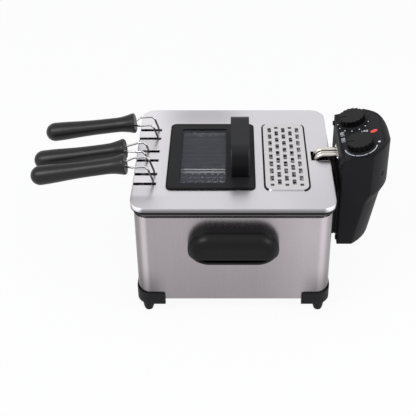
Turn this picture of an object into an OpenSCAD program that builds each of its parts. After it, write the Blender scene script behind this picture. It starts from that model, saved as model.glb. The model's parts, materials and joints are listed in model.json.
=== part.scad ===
/*
  Deep fryer with a lift-out oil pot, three wire baskets, a loose lid with a window and
  a steam vent, and a control head that hangs on the back of the housing and carries
  the heating element over the pot's rim.

  Millimetres. +X points to the control head, -X to the basket grips, +Z up.
  The origin is on the table, below the middle of the housing.
*/

/* [Lid] */
// Length of the lid, from the grips' edge to the head's edge
lid_length = 294; // [286:1:306]
// Width of the lid
lid_width = 260; // [252:1:272]
// Radius of the lid's corners, seen from above
lid_corner = 22; // [16:1:28]
// Height of the lid's rolled-down skirt
lid_skirt = 9.6; // [8:0.2:12]
// Thickness of the lid's sheet
lid_sheet = 1.2; // [0.8:0.1:1.6]
// Length of the six open slots that the handle wires pass through
wire_slot_length = 34; // [32:0.5:38]
// Width of each wire slot
wire_slot_width = 6.6; // [5:0.1:8]
// Width of the open notch that the heater tubes pass through
notch_width = 24; // [23:0.5:30]
// Thickness of the silicone seal under the lid's edge
seal_height = 2.8; // [2:0.1:4]
// Width of the silicone seal
seal_width = 6; // [4:0.5:7]

/* [Housing] */
// Overhang of the lid past the housing's wall, all round
lid_overhang = 4; // [3.5:0.5:7]
// Radius of the housing's upright corners
housing_corner = 20; // [16:1:24]
// Height of the housing's steel wall
housing_height = 154; // [148:1:166]
// Height of the housing's lower edge above the table
foot_height = 30; // [27:1:36]
// Thickness of the housing's sheet
housing_sheet = 1; // [0.8:0.1:1.4]
// Width of the lip folded inward at the housing's top
lip_width = 7; // [5:0.5:8]
// Thickness of the base plate
base_sheet = 1.2; // [1:0.1:2]
// Length of the base plate's cooling slots
base_slot_length = 90; // [70:2:110]
// Width of the base plate's cooling slots
base_slot_width = 6; // [4:0.5:8]

/* [Feet] */
// Length of each foot's wrap along both walls
foot_wrap = 41; // [34:1:50]
// Thickness of the wrap outside the wall
foot_wall = 2.2; // [1.6:0.1:3]
// Height of the wrap above the housing's lower edge
foot_rise = 12; // [8:1:18]
// Depth of the wrap below the housing's lower edge
foot_drop = 9; // [6:0.5:12]
// Diameter of the stem's top, below each wrap
foot_stem_d = 20; // [17:0.5:24]
// Diameter of the stem's lower end
foot_toe_d = 15; // [14.5:0.5:17]
// Distance of each stem's axis inside the walls
foot_inset = 14; // [13.5:0.5:20]
// Diameter of the rubber pads
pad_d = 12.5; // [10:0.5:14]
// Height of the rubber pads
pad_height = 6; // [4:0.5:8]

/* [Carry handles] */
// Length of each carry handle
grab_length = 132; // [116:1:146]
// Height of each carry handle
grab_height = 63; // [54:1:66]
// How far each carry handle stands out from the wall
grab_reach = 28; // [25:0.5:34]
// Height of the carry handles' middle above the housing's lower edge
grab_z = 106; // [100:1:112]
// Wall thickness of the carry handles
grab_wall = 4; // [3:0.25:5]
// How far the lower lip of each carry handle stands out
grab_lip = 9; // [7:0.5:11]
// Radius of the carry handles' outer edge
grab_round = 18; // [14:0.5:20]

/* [Oil pot] */
// Space between the housing's outer face and the pot's outer face
pot_margin = 9; // [8.5:0.25:11]
// Radius of the pot's corners
pot_corner = 26; // [20:1:32]
// Thickness of the pot's sheet
pot_sheet = 1; // [0.8:0.1:1.4]
// Height of the pot's floor above the housing's lower edge
pot_floor_gap = 14; // [10:1:18]
// Diameter of the bead rolled along the pot's rim
bead_d = 3.8; // [3:0.2:4.6]
// How far the bead stands out past the housing
bead_overhang = 1.5; // [1:0.25:2.5]
// Height of the step between the pot's rim and the ledge that rests on the housing
rim_step = 5; // [4:0.2:6]

/* [Heating element] */
// Diameter of the heater tubes
heater_d = 6.8; // [6:0.2:8]
// Distance between the two tubes where they cross the rim
heater_spacing = 14; // [11:0.5:16]
// Distance between the outer runs above the pot's floor
heater_spread = 160; // [110:2:190]
// Distance between the inner runs above the pot's floor
heater_inner = 60; // [48:2:70]
// Height of the element's axis above the pot's floor
heater_lift = 9; // [7:0.5:12]
// Height of the tubes' axis above the lid where they enter the head
heater_rise = 7; // [7:0.5:12]
// Space between the pot's head-side wall and the tubes that run down it
heater_gap = 6; // [1:0.5:7]
// Radius of the bend over the rim
heater_bend = 14; // [12:0.5:18]

/* [Baskets] */
// Space between the pot's grip-side wall and the large basket
basket_gap_grip = 8; // [7:0.5:10]
// Space between the pot's head-side wall and the large basket
basket_gap_head = 17; // [16:0.5:26]
// Space between the pot's side walls and the large basket
basket_gap_side = 4; // [3:0.5:8]
// Height of the large basket
large_height = 108; // [90:1:112]
// Height of the small baskets
small_height = 108; // [90:1:112]
// Space between the element and the large basket's floor
basket_gap_floor = 5; // [4:0.5:8]
// Space between the two baskets' floors
nest_gap_floor = 7; // [6:0.5:8]
// Space between the large basket's end walls and the small baskets
nest_gap_end = 12; // [10:0.5:14]
// Space between the large basket's side walls and the small baskets
nest_gap_side = 6; // [5:0.5:8]
// Space between the two small baskets
nest_gap_mid = 4; // [3:0.5:8]
// Radius of the baskets' corners
basket_corner = 16; // [12:1:20]
// Diameter of the frame wires
frame_wire = 3; // [2.5:0.1:3.5]
// Thickness of the baskets' mesh
mesh_sheet = 1.2; // [0.8:0.1:1.6]
// Spacing of the openings in the mesh
mesh_pitch = 12; // [10:0.5:16]
// Width of the openings in the mesh
mesh_slot = 8; // [5:0.5:9]

/* [Basket handles] */
// Diameter of the handle wires
handle_wire = 3; // [2.6:0.1:3.4]
// Distance between the two wires of one handle at the lid
wire_spacing = 24; // [20:0.5:26]
// Distance between the two wires where they enter the grip
wire_neck = 13; // [11:0.5:15]
// Distance of the small baskets' handles from the middle
small_handle_y = 59; // [54:0.5:63]
// Height of the wires' bend above the lid
wire_top = 25; // [23:0.5:34]
// Lean of the wires towards the grips over that height
wire_lean = 8.5; // [6:0.5:12]
// Distance from the bend to the left-hand basket's grip
left_wire_reach = 27.5; // [24.5:0.5:36]
// Distance from the bend to the right-hand basket's grip
right_wire_reach = 31; // [26:0.5:36]
// Distance from the bend to the large basket's grip
large_wire_reach = 28; // [26:0.5:36]
// Drop of the wires from the bend to the grip
wire_drop = 3.6; // [3:0.2:8]
// Length of the grips
grip_length = 142; // [120:1:156]
// Diameter of the grips at the waist
grip_waist = 23; // [20:0.5:25]
// Diameter of the grips' rounded end
grip_bulb = 29; // [26:0.5:30]
// Diameter of the flared guard at the wires
grip_guard = 31; // [29:0.5:34]
// Slope of the grips below the horizontal
grip_slope = 7.6; // [4:0.1:10]
// Slope of the large basket's and the right-hand basket's grips
low_grip_slope = 9.2; // [6:0.1:10]
// Height of the right-hand basket's handle above the left-hand one's
right_handle_lift = 5.5; // [0:0.5:7]
// How much lower the large basket's handle sits
large_handle_drop = 8.5; // [7:0.5:12]
// How much further out the large basket's handle sits
large_handle_shift = 9.5; // [8.5:0.5:12]

/* [Window] */
// Length of the window's bezel
bezel_length = 131; // [120:1:132]
// Width of the window's bezel
bezel_width = 172; // [160:1:180]
// Position of the bezel's middle along the lid
bezel_x = -33; // [-36:1:-31]
// Radius of the bezel's corners
bezel_corner = 9; // [6:0.5:12]
// Height of the bezel above the lid
bezel_height = 2; // [1.5:0.25:3]
// Length of the glass that shows
glass_length = 68; // [60:1:74]
// Width of the glass that shows
glass_width = 142; // [120:1:148]
// Position of the glass's middle along the lid
glass_x = -45; // [-47:0.5:-42]
// Thickness of the glass
glass_thick = 3; // [2.5:0.25:4]

/* [Lid handle] */
// Width of the lid handle
arch_width = 28; // [24:0.5:29]
// Position of the lid handle's middle along the lid
arch_x = 10; // [9:0.5:13]
// Length of the lid handle
arch_length = 116; // [104:1:126]
// Height of the lid handle above the lid
arch_height = 44.5; // [38:0.5:48]
// Thickness of the lid handle's bar
arch_bar = 12; // [9:0.5:14]

/* [Vent] */
// Length of the vent panel
vent_length = 63; // [60:1:68]
// Width of the vent panel
vent_width = 174; // [164:1:182]
// Position of the vent panel's middle along the lid
vent_x = 78.5; // [77:0.5:80]
// Radius of the vent panel's corners
vent_corner = 11; // [8:0.5:14]
// Distance between the rows of vent slots
vent_row_pitch = 10.8; // [10:0.1:11.4]
// Distance from one slot to the next in a row
vent_slot_pitch = 18.25; // [18:0.25:21]
// Width of a vent slot
vent_slot_width = 5.4; // [4.5:0.1:6]
// Length of a vent slot
vent_slot_length = 12.8; // [10:0.1:14]
// Thickness of the filter cassette under the vent
filter_height = 6; // [4:0.5:7]

/* [Control head] */
// Distance from the housing's wall to the head's inner face
head_gap = 15; // [14:0.5:20]
// Length of the head, from its inner face to its rounded back
head_length = 77; // [74:1:88]
// Width of the head
head_width = 128; // [118:1:136]
// Depth of the rounded back
head_bulge = 33; // [28:0.5:38]
// Height of the head's lower end above the table
head_bottom = 84; // [78:1:92]
// Height of the panel's lower edge above the lid
head_rise = 33.4; // [28:0.2:38]
// Tilt of the panel towards the grips
panel_tilt = 14; // [10:0.5:18]
// Thickness of the head's plastic wall
head_wall = 2.5; // [2:0.1:3]
// Radius of the edge between the panel and the rounded back
head_round = 14; // [10:0.5:18]
// Depth of the shoulder's lower end below the panel's lower edge
shoulder_depth = 77; // [74:0.5:84]
// Height of the shoulder
shoulder_height = 16; // [12:1:20]
// Thickness of the control panel
panel_thick = 1.5; // [1:0.1:1.8]

/* [Controls] */
// Diameter of the knobs
knob_d = 43.5; // [34:0.5:45]
// Height of the knobs
knob_height = 12.5; // [9:0.5:16]
// Diameter of the knobs' shafts
shaft_d = 6; // [5:0.25:7]
// Distance of the thermostat's knob from the head's middle
thermostat_y = 35; // [28:0.5:37]
// Distance of the thermostat's knob from the head's inner face
thermostat_x = 29.5; // [28:0.5:32]
// Distance of the timer's knob from the head's middle
timer_y = 33; // [28:0.5:35]
// Distance of the timer's knob from the head's inner face
timer_x = 25; // [24:0.5:32]
// Number of flutes round each knob
knob_flutes = 18; // [14:1:30]
// Diameter of the timer's case
timer_d = 40; // [34:1:40]
// Depth of the timer's case
timer_depth = 26; // [20:1:28]
// Diameter of the thermostat's case
thermostat_d = 34; // [28:1:38]
// Depth of the thermostat's case
thermostat_depth = 22; // [18:1:26]
// Length of the indicator lamp
lamp_length = 11; // [9:0.25:12]
// Width of the indicator lamp
lamp_width = 6.5; // [5:0.25:8]
// Distance of the lamp's middle from the head's inner face
lamp_in = 52; // [50:0.5:56]
// Diameter of the reset button
reset_d = 7; // [5:0.25:8]

/* [Clearances] */
// Gap between pieces that move past each other
slide_gap = 0.3; // [0.25:0.05:0.5]
// Gap round a shaft or a screw in its hole
shaft_gap = 0.1; // [0.05:0.01:0.1]
// Gap round a piece held in an opening
fit_gap = 0.2; // [0.1:0.05:0.3]

/* [Hidden] */

$fn = 64;
// reach of a cut past the face that it opens
over = 1;
// turns that point a shape made along +Z to +X, and to -Y
TO_X = [0, 90, 0];
TO_RIGHT = [90, 0, 0];

// colours
STEEL = [0.74, 0.73, 0.74];
CHROME = [0.82, 0.82, 0.84];
BLACK = [0.09, 0.09, 0.1];
RUBBER = [0.05, 0.05, 0.05];
GLASS = [0.24, 0.27, 0.31];
RED = [0.8, 0.1, 0.08];
BRASS = [0.78, 0.66, 0.36];
CREAM = [0.86, 0.83, 0.74];

// housing
housing_length = lid_length - 2 * lid_overhang;
housing_width = lid_width - 2 * lid_overhang;
wall_x = housing_length / 2;
wall_y = housing_width / 2;
housing_top = foot_height + housing_height;

// carry handles
grab_floor = 3;
grab_post_x = (grab_length - grab_height) / 2;

// oil pot
pot_length = housing_length - 2 * pot_margin;
pot_width = housing_width - 2 * pot_margin;
pot_floor = foot_height + pot_floor_gap;
ledge_z = housing_top + slide_gap;
rim_z = ledge_z + rim_step;
bead_z = rim_z + pot_sheet / 2;
rim_length = housing_length + 2 * bead_overhang;
rim_width = housing_width + 2 * bead_overhang;
rim_corner = housing_corner + bead_overhang;
rim_top = bead_z + bead_d / 2;
pot_inner_x = pot_length / 2 - pot_sheet;
pot_inner_y = pot_width / 2 - pot_sheet;
// width of the rim's upper flange, inward from the housing's outline
rim_flange = 3;

// lid
seal_z = rim_top + slide_gap;
seal_drop = 2;
skirt_z = seal_z + seal_drop;
lid_top = skirt_z + lid_skirt;
lid_under = lid_top - lid_sheet;
edge_x = lid_length / 2;

// window: overlap of the glass under the bezel, its depth below the bezel's top,
// the lid's opening past the glass that shows, and the gasket's depth below the sheet
glass_rim = 3;
glass_step = 1.4;
hole_margin = 5;
gasket_drop = 2.4;

// vent: overlap of the panel over the lid's opening, the filter cassette's outline, the width
// of its frame and the depth of the mesh inside the frame
vent_rim = 5;
filter_l = vent_length - 2 * vent_rim + 6;
filter_w = vent_width - 2 * vent_rim + 6;
filter_lip = 4;
filter_tuck = 2;

// heating element
heater_z = pot_floor + heater_lift;
heater_top_z = lid_top + heater_rise;
heater_x = pot_inner_x - heater_d / 2 - heater_gap;
notch_play = 2.2;
notch_end = heater_x - heater_d / 2 - notch_play;
heater_turn = 12;
heater_inset = 34;
heater_near = -pot_inner_x + heater_inset;
heater_floor_bend = 14;
sensor_d = 3;

// baskets: grip end, head end, middle and width, floor and rim heights
large_x0 = -pot_inner_x + basket_gap_grip;
large_x1 = pot_inner_x - basket_gap_head;
large_w = 2 * (pot_inner_y - basket_gap_side);
large_z0 = heater_z + heater_d / 2 + basket_gap_floor;
small_x0 = large_x0 + nest_gap_end;
small_x1 = large_x1 - nest_gap_end;
small_y0 = nest_gap_mid / 2;
small_y1 = large_w / 2 - nest_gap_side;
small_w = small_y1 - small_y0;
small_y = (small_y0 + small_y1) / 2;
small_z0 = large_z0 + nest_gap_floor;

// handle wires
wire_off = 4;
// balls at the wires' corners, as a share of the wire
bend_swell = 1.1;
small_wire_x = small_x0 - wire_off;
large_wire_x = small_wire_x - large_handle_shift;
// depth of the wires in the grip
wire_entry = 30;
// height of the wires' socket plate, and how far the wires run on below it
socket_height = 22;
socket_tail = 2;
large_wire_z = large_z0 + large_height - socket_height - socket_tail;
small_wire_z = small_z0 + small_height - socket_height - socket_tail;
// how soon the grip's waist swells to the rounded end: higher is later
waist_run = 1.6;

// control head
head_x = wall_x + head_gap;
head_back = head_x + head_length;
head_y = head_width / 2;
back_r = (pow(head_y, 2) + pow(head_bulge, 2)) / (2 * head_bulge);
back_x = head_back - back_r;
panel_z0 = lid_top + head_rise;
cover_thick = 3;
shoulder_low = panel_z0 - shoulder_depth;
shoulder_high = shoulder_low + shoulder_height;
// the rounded back stands further in at the waist below the shoulder, and at the toe
waist_in = 8;
toe_in = 22;
// length of the plan's part on the housing's side, cut off at the inner face
plan_spare = 25;

// screw posts for the back cover, in the head's corners
post_d = 9;
post_y = head_y - head_wall - 3;
post_drop = 12;
post_rise = 9;
// controls: lift of the knobs above the panel, depth of the shafts below it and of their
// seat in the knobs, and the lamp's place and turn on the panel
knob_lift = 0.5;
shaft_down = 12;
shaft_seat = 4;
lamp_x = head_x + lamp_in;
lamp_y = -2;
lamp_turn = 20;
// cord inlet, above the shoulder
inlet_w = 24;
inlet_h = 20;
inlet_depth = 12;
inlet_wall = 2;
inlet_z = shoulder_high + inlet_h / 2 + 4;
contact_y = 5;
contact_d = 3;
// reset button on the rounded back
reset_angle = -36;
reset_z = lid_top + 1.5;
reset_travel = 2;

// rail between the bracket and the head
bracket_thick = 10;
bracket_y = head_y - 6;
bracket_rise = 70;
bracket_z0 = foot_height + bracket_rise;
bracket_z1 = housing_top - 4;
rail_w = 36;
rail_neck = 24;
rail_depth = 4;
rail_back = 2.5;
rail_floor = 9;
// interlock's plunger in the block behind the rail
plunger_d = 5;
plunger_y = 40;
plunger_z = bracket_z0 + 30;
plunger_travel = 2.5;

// fasteners
screw_d = 4;
screw_head = 7.5;
screw_head_h = 2.4;
// the foot screws are this much shorter than the housing's height above the table
foot_screw_short = 12;

// ---------- shared shapes ----------

// flat rounded rectangle, centred
module plate2d(l, w, r) {
  square([l - 2 * r, w], center = true);
  square([l, w - 2 * r], center = true);
  for (sx = [-1, 1], sy = [-1, 1])
    translate([sx * (l / 2 - r), sy * (w / 2 - r)]) circle(r);
}

// flat rounded frame: a plate with a smaller rounded hole
module frame2d(l, w, r, in_l, in_w, in_r) {
  difference() {
    plate2d(l, w, r);
    plate2d(in_l, in_w, in_r);
  }
}

// straight round rod between two points
module rod(a, b, d) {
  v = b - a;
  len = norm(v);
  translate(a)
    rotate([0, acos(v.z / len), atan2(v.y, v.x)])
      cylinder(h = len, d = d);
}

// bent round rod through a list of points, its corners slightly thicker balls
module bent_rod(points, d) {
  ball = bend_swell * d;
  for (i = [0 : len(points) - 2]) rod(points[i], points[i + 1], d);
  for (i = [1 : len(points) - 2]) translate(points[i]) sphere(d = ball);
}

// closed round wire along a rounded rectangle
module wire_loop(l, w, r, d) {
  for (s = [-1, 1]) {
    translate([-(l / 2 - r), s * w / 2, 0]) rotate(TO_X) cylinder(h = l - 2 * r, d = d);
    translate([s * l / 2, w / 2 - r, 0]) rotate(TO_RIGHT) cylinder(h = w - 2 * r, d = d);
  }
  for (q = [0 : 3])
    let (sx = (q == 0 || q == 3) ? 1 : -1, sy = q < 2 ? 1 : -1)
      translate([sx * (l / 2 - r), sy * (w / 2 - r), 0])
        rotate(90 * q)
          rotate_extrude(angle = 90) translate([r, 0]) circle(d = d);
}

// pan-head screw, its head's underside at the origin and its shank down -Z
module screw(shank) {
  translate([0, 0, -shank]) cylinder(h = shank, d = screw_d);
  cylinder(h = screw_head_h, d = screw_head);
}

// copies on both side walls, the second turned to face +Y
module on_side(side) {
  rotate(side > 0 ? 180 : 0) children();
}

// ---------- housing ----------

module housing_shell() {
  inner_l = housing_length - 2 * housing_sheet;
  inner_w = housing_width - 2 * housing_sheet;
  color(STEEL)
    difference() {
      union() {
        translate([0, 0, foot_height])
          linear_extrude(housing_height)
            frame2d(housing_length, housing_width, housing_corner,
              inner_l, inner_w, housing_corner - housing_sheet);
        // lips folded inward at the bottom and the top
        for (z = [foot_height, housing_top - housing_sheet])
          translate([0, 0, z])
            linear_extrude(housing_sheet)
              frame2d(housing_length - housing_sheet, housing_width - housing_sheet,
                housing_corner - housing_sheet / 2,
                inner_l - 2 * lip_width, inner_w - 2 * lip_width, pot_corner);
      }
      at_grab_screws() cylinder(h = 4 * housing_sheet, d = screw_d + shaft_gap, center = true);
      at_bracket_screws()
        cylinder(h = 2 * bracket_thick + 4 * housing_sheet, d = screw_d + shaft_gap, center = true);
      for (sx = [-1, 1], sy = [-1, 1])
        translate([sx * (wall_x - foot_inset), sy * (wall_y - foot_inset), foot_height - over])
          cylinder(h = housing_sheet + 2 * over, d = screw_d + shaft_gap);
    }
}

module base_plate() {
  color(STEEL)
    difference() {
      translate([0, 0, foot_height + housing_sheet])
        linear_extrude(base_sheet)
          plate2d(housing_length - 2 * housing_sheet - fit_gap,
            housing_width - 2 * housing_sheet - fit_gap, housing_corner - housing_sheet);
      // cooling slots
      for (i = [-4 : 4])
        translate([i * 16, 0, foot_height])
          linear_extrude(base_sheet + housing_sheet + over)
            square([base_slot_width, base_slot_length], center = true);
      for (sx = [-1, 1], sy = [-1, 1])
        translate([sx * (wall_x - foot_inset), sy * (wall_y - foot_inset), foot_height])
          cylinder(h = base_sheet + housing_sheet + over, d = screw_d + shaft_gap);
    }
}

// foot at the corner where sx and sy give the signs of x and y
module corner_foot(sx, sy) {
  z0 = foot_height - foot_drop;
  stem_z = pad_height - 2;
  outer_r = housing_corner + foot_wall;
  tab_round = 4;
  color(BLACK)
    mirror([sx < 0 ? 1 : 0, 0, 0]) mirror([0, sy < 0 ? 1 : 0, 0])
      difference() {
        union() {
          // wrap round the corner
          intersection() {
            translate([0, 0, z0])
              linear_extrude(foot_drop + foot_rise)
                plate2d(housing_length + 2 * foot_wall, housing_width + 2 * foot_wall, outer_r);
            translate([wall_x - foot_wrap, wall_y - foot_wrap, z0])
              cube([foot_wrap + foot_wall, foot_wrap + foot_wall, foot_drop + foot_rise]);
          }
          translate([wall_x - foot_inset, wall_y - foot_inset, stem_z])
            cylinder(h = z0 - stem_z, d1 = foot_toe_d, d2 = foot_stem_d);
        }
        // room for the housing
        translate([0, 0, foot_height])
          linear_extrude(foot_rise + over)
            plate2d(housing_length + fit_gap, housing_width + fit_gap,
              housing_corner + fit_gap / 2);
        // hollow under the wrap, behind its outer walls
        translate([wall_x - foot_wrap - over, wall_y - foot_wrap - over, z0 - over])
          cube([foot_wrap - foot_inset - foot_stem_d / 2 + over,
            foot_wrap + over - foot_wall, foot_drop - 2 + over]);
        translate([wall_x - foot_wrap - over, wall_y - foot_wrap - over, z0 - over])
          cube([foot_wrap + over - foot_wall,
            foot_wrap - foot_inset - foot_stem_d / 2 + over, foot_drop - 2 + over]);
        // pad socket and screw hole
        translate([wall_x - foot_inset, wall_y - foot_inset, 0]) {
          translate([0, 0, stem_z - over]) cylinder(h = 2 + over, d = pad_d);
          cylinder(h = foot_height + over, d = screw_d + shaft_gap);
        }
        // rounded upper end of each tab
        translate([wall_x - foot_wrap, wall_y, foot_height + foot_rise - tab_round])
          rotate(TO_RIGHT) tab_cut(tab_round);
        translate([wall_x, wall_y - foot_wrap, foot_height + foot_rise - tab_round])
          rotate([90, 0, 90]) tab_cut(tab_round);
      }
}

// the sliver outside a quarter round, for rounding a tab's upper end
module tab_cut(r) {
  reach = 2 * foot_wall + over;
  translate([0, 0, -reach])
    linear_extrude(2 * reach)
      difference() {
        translate([-over, 0]) square([r + over, r + over]);
        translate([r, 0]) circle(r);
      }
}

module foot_pads() {
  color(RUBBER)
    for (sx = [-1, 1], sy = [-1, 1])
      translate([sx * (wall_x - foot_inset), sy * (wall_y - foot_inset), 0])
        cylinder(h = pad_height, d = pad_d);
}

module foot_screws() {
  color(CHROME)
    for (sx = [-1, 1], sy = [-1, 1])
      translate([sx * (wall_x - foot_inset), sy * (wall_y - foot_inset),
          foot_height + housing_sheet + base_sheet])
        screw(foot_height - foot_screw_short);
}

// ---------- carry handles ----------

// half outline of a cushion: distance from its spine and height
module cushion_half2d(r, h, round) {
  square([r - round, h]);
  square([r, h - round]);
  intersection() {
    translate([r - round, h - round]) circle(round);
    square([r, h]);
  }
}

// oblong cushion with its flat base on z = 0
module cushion(l, w, h, round) {
  r = w / 2;
  half = l / 2 - r;
  translate([-half, 0, 0])
    rotate([90, 0, 90])
      linear_extrude(2 * half) {
        cushion_half2d(r, h, round);
        mirror([1, 0]) cushion_half2d(r, h, round);
      }
  for (s = [-1, 1])
    translate([s * half, 0, 0])
      rotate(-90 * s) rotate_extrude(angle = 180) cushion_half2d(r, h, round);
}

module carry_handle(side) {
  hood_low = -6;
  inner_l = grab_length - 2 * grab_wall;
  inner_h = grab_height - 2 * grab_wall;
  color(BLACK)
    on_side(side)
      translate([0, -wall_y, foot_height + grab_z])
        rotate(TO_RIGHT)
          difference() {
            cushion(grab_length, grab_height, grab_reach, grab_round);
            // below the hood only the lower lip stands out
            translate([-grab_length, -grab_height, grab_lip])
              cube([2 * grab_length, grab_height + hood_low, grab_reach]);
            // hollow for the fingers, up behind the hood
            translate([0, 0, grab_floor])
              cushion(inner_l, inner_h, grab_reach - grab_wall - grab_floor,
                grab_round - grab_wall);
            // screw holes
            for (sx = [-1, 1])
              translate([sx * grab_post_x, 0, -over])
                cylinder(h = grab_floor + 2 * over, d = screw_d + shaft_gap);
          }
}

// places a shape at each carry handle's screws on the wall's inner face, +Z inward
module at_grab_screws() {
  for (side = [-1, 1], sx = [-1, 1])
    on_side(side)
      translate([sx * grab_post_x, -wall_y + housing_sheet, foot_height + grab_z])
        rotate([-90, 0, 0]) children();
}

// their heads are inside the housing and their tips in the handles' floor
module carry_handle_screws() {
  color(CHROME) at_grab_screws() screw(housing_sheet + grab_floor + 1);
}

// ---------- head bracket and rail ----------

// outline of the T-shaped slot or tongue, from the wall side outward along +X
module rail2d(gap, reach) {
  translate([rail_back - gap, -rail_w / 2 - gap]) square([rail_depth + 2 * gap, rail_w + 2 * gap]);
  translate([rail_back, -rail_neck / 2 - gap]) square([reach, rail_neck + 2 * gap]);
}

module head_bracket() {
  color(BLACK)
    translate([wall_x, 0, bracket_z0])
      difference() {
        translate([0, -bracket_y, 0]) cube([bracket_thick, 2 * bracket_y, bracket_z1 - bracket_z0]);
        translate([0, 0, rail_floor])
          linear_extrude(bracket_z1 - bracket_z0) rail2d(slide_gap + 0.1, bracket_thick);
        translate([-wall_x, 0, -bracket_z0])
          at_bracket_screws() {
            cylinder(h = 2 * bracket_thick, d = screw_d + shaft_gap, center = true);
            cylinder(h = bracket_thick, d = screw_head + 1);
          }
      }
}

// places a shape at each of the bracket's screws, on the seat of its head, +Z outward
module at_bracket_screws() {
  inset = 10;
  seat = bracket_thick - 3;
  for (sy = [-1, 1], z = [bracket_z0 + inset, bracket_z1 - inset])
    translate([wall_x + seat, sy * (bracket_y - inset), z]) rotate(TO_X) children();
}

module bracket_screws() {
  color(CHROME) at_bracket_screws() screw(bracket_thick);
}

// ---------- oil pot ----------

module oil_pot() {
  step_l = housing_length - 2 * rim_flange;
  step_w = housing_width - 2 * rim_flange;
  step_r = housing_corner - rim_flange;
  in_l = pot_length - 2 * pot_sheet;
  in_w = pot_width - 2 * pot_sheet;
  in_r = pot_corner - pot_sheet;
  color(CHROME) {
    // floor
    translate([0, 0, pot_floor - pot_sheet])
      linear_extrude(pot_sheet) plate2d(pot_length, pot_width, pot_corner);
    // wall
    translate([0, 0, pot_floor - pot_sheet])
      linear_extrude(ledge_z + pot_sheet - pot_floor + pot_sheet)
        frame2d(pot_length, pot_width, pot_corner, in_l, in_w, in_r);
    // ledge that rests on the housing
    translate([0, 0, ledge_z])
      linear_extrude(pot_sheet)
        frame2d(step_l, step_w, step_r, in_l, in_w, in_r);
    // riser
    translate([0, 0, ledge_z])
      linear_extrude(rim_step + pot_sheet)
        frame2d(step_l, step_w, step_r, step_l - 2 * pot_sheet, step_w - 2 * pot_sheet,
          step_r - pot_sheet);
    // flange
    translate([0, 0, rim_z])
      linear_extrude(pot_sheet)
        frame2d(rim_length - bead_d, rim_width - bead_d, rim_corner - bead_d / 2,
          step_l - 2 * pot_sheet, step_w - 2 * pot_sheet, step_r - pot_sheet);
    // rolled bead
    translate([0, 0, bead_z])
      wire_loop(rim_length - bead_d, rim_width - bead_d, rim_corner - bead_d / 2, bead_d);
  }
}

// ---------- heating element ----------

// straight run along X at height z
module tube_x(x0, x1, y, z, d) {
  translate([x0, y, z]) rotate(TO_X) cylinder(h = x1 - x0, d = d);
}

// quarter bend in the plane of X and Z, from heading -X at the top to heading down
module bend_down(x, y, z, r, d) {
  translate([x + r, y, z - r])
    rotate([90, 0, 0]) rotate([0, 0, 90])
      rotate_extrude(angle = 90) translate([r, 0]) circle(d = d);
}

// quarter bend in the plane of X and Z, from heading down to heading -X
module bend_in(x, y, z, r, d) {
  translate([x - r, y, z + r])
    rotate([90, 0, 0]) rotate([0, 0, -90])
      rotate_extrude(angle = 90) translate([r, 0]) circle(d = d);
}

module heating_element() {
  r = heater_turn;
  y_top = heater_spacing / 2;
  y_out = heater_spread / 2;
  y_in = heater_inner / 2;
  x_in = heater_x - heater_floor_bend;
  x_turn = x_in - 2 * r;
  color(CHROME)
    for (s = [-1, 1]) {
      // into the head, over the rim and down
      tube_x(heater_x + heater_bend, head_x + 12, s * y_top, heater_top_z, heater_d);
      bend_down(heater_x, s * y_top, heater_top_z, heater_bend, heater_d);
      translate([heater_x, s * y_top, heater_z + heater_floor_bend])
        cylinder(h = heater_top_z - heater_bend - heater_z - heater_floor_bend, d = heater_d);
      bend_in(heater_x, s * y_top, heater_z, heater_floor_bend, heater_d);
      // out to the side on the pot's floor
      translate([x_in, s * (y_top + r), heater_z])
        rotate(s > 0 ? 180 : 90)
          rotate_extrude(angle = 90) translate([r, 0]) circle(d = heater_d);
      translate([x_in - r, s * (y_top + r), heater_z])
        rotate([s > 0 ? -90 : 90, 0, 0]) cylinder(h = y_out - 2 * r - y_top, d = heater_d);
      translate([x_turn, s * (y_out - r), heater_z])
        rotate(s > 0 ? 0 : -90)
          rotate_extrude(angle = 90) translate([r, 0]) circle(d = heater_d);
      // outer run towards the grips, and back on the inner run
      tube_x(heater_near, x_turn, s * y_out, heater_z, heater_d);
      translate([heater_near, s * (y_out + y_in) / 2, heater_z])
        rotate(90)
          rotate_extrude(angle = 180) translate([(y_out - y_in) / 2, 0]) circle(d = heater_d);
      tube_x(heater_near, x_turn - 2 * r, s * y_in, heater_z, heater_d);
    }
  // loop that joins the two inner runs
  color(CHROME)
    translate([x_turn - 2 * r, 0, heater_z])
      rotate(-90)
        rotate_extrude(angle = 180) translate([y_in, 0]) circle(d = heater_d);
}

// comb that keeps the runs apart and off the floor
module element_clip() {
  leg = 8;
  clip_x = heater_near + 20;
  clip_w = 10;
  y_out = heater_spread / 2;
  color(STEEL)
    difference() {
      union() {
        translate([clip_x, -y_out - leg, heater_z - heater_d / 2 - 1.2])
          cube([clip_w, 2 * (y_out + leg), 1.2]);
        for (y = [-y_out, -heater_inner / 2, heater_inner / 2, y_out])
          translate([clip_x + clip_w / 2 - 0.6, y - leg, pot_floor + slide_gap])
            cube([1.2, 2 * leg, heater_z - pot_floor + 2]);
      }
      for (s = [-1, 1], y = [y_out, heater_inner / 2])
        tube_x(clip_x - over, clip_x + clip_w + over, s * y, heater_z, heater_d);
    }
}

// plate inside the back cover that clamps the two tubes and the sensor
module tube_clamp() {
  x0 = head_x + cover_thick;
  thick = 3;
  reach = heater_spacing / 2 + 11;
  color(STEEL)
    difference() {
      translate([x0, -reach, heater_top_z - 9]) cube([thick, 2 * reach, 18]);
      for (y = [-heater_spacing / 2, heater_spacing / 2])
        tube_x(x0 - over, x0 + thick + over, y, heater_top_z, heater_d);
      tube_x(x0 - over, x0 + thick + over, 0, heater_top_z, sensor_d);
    }
}

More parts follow.
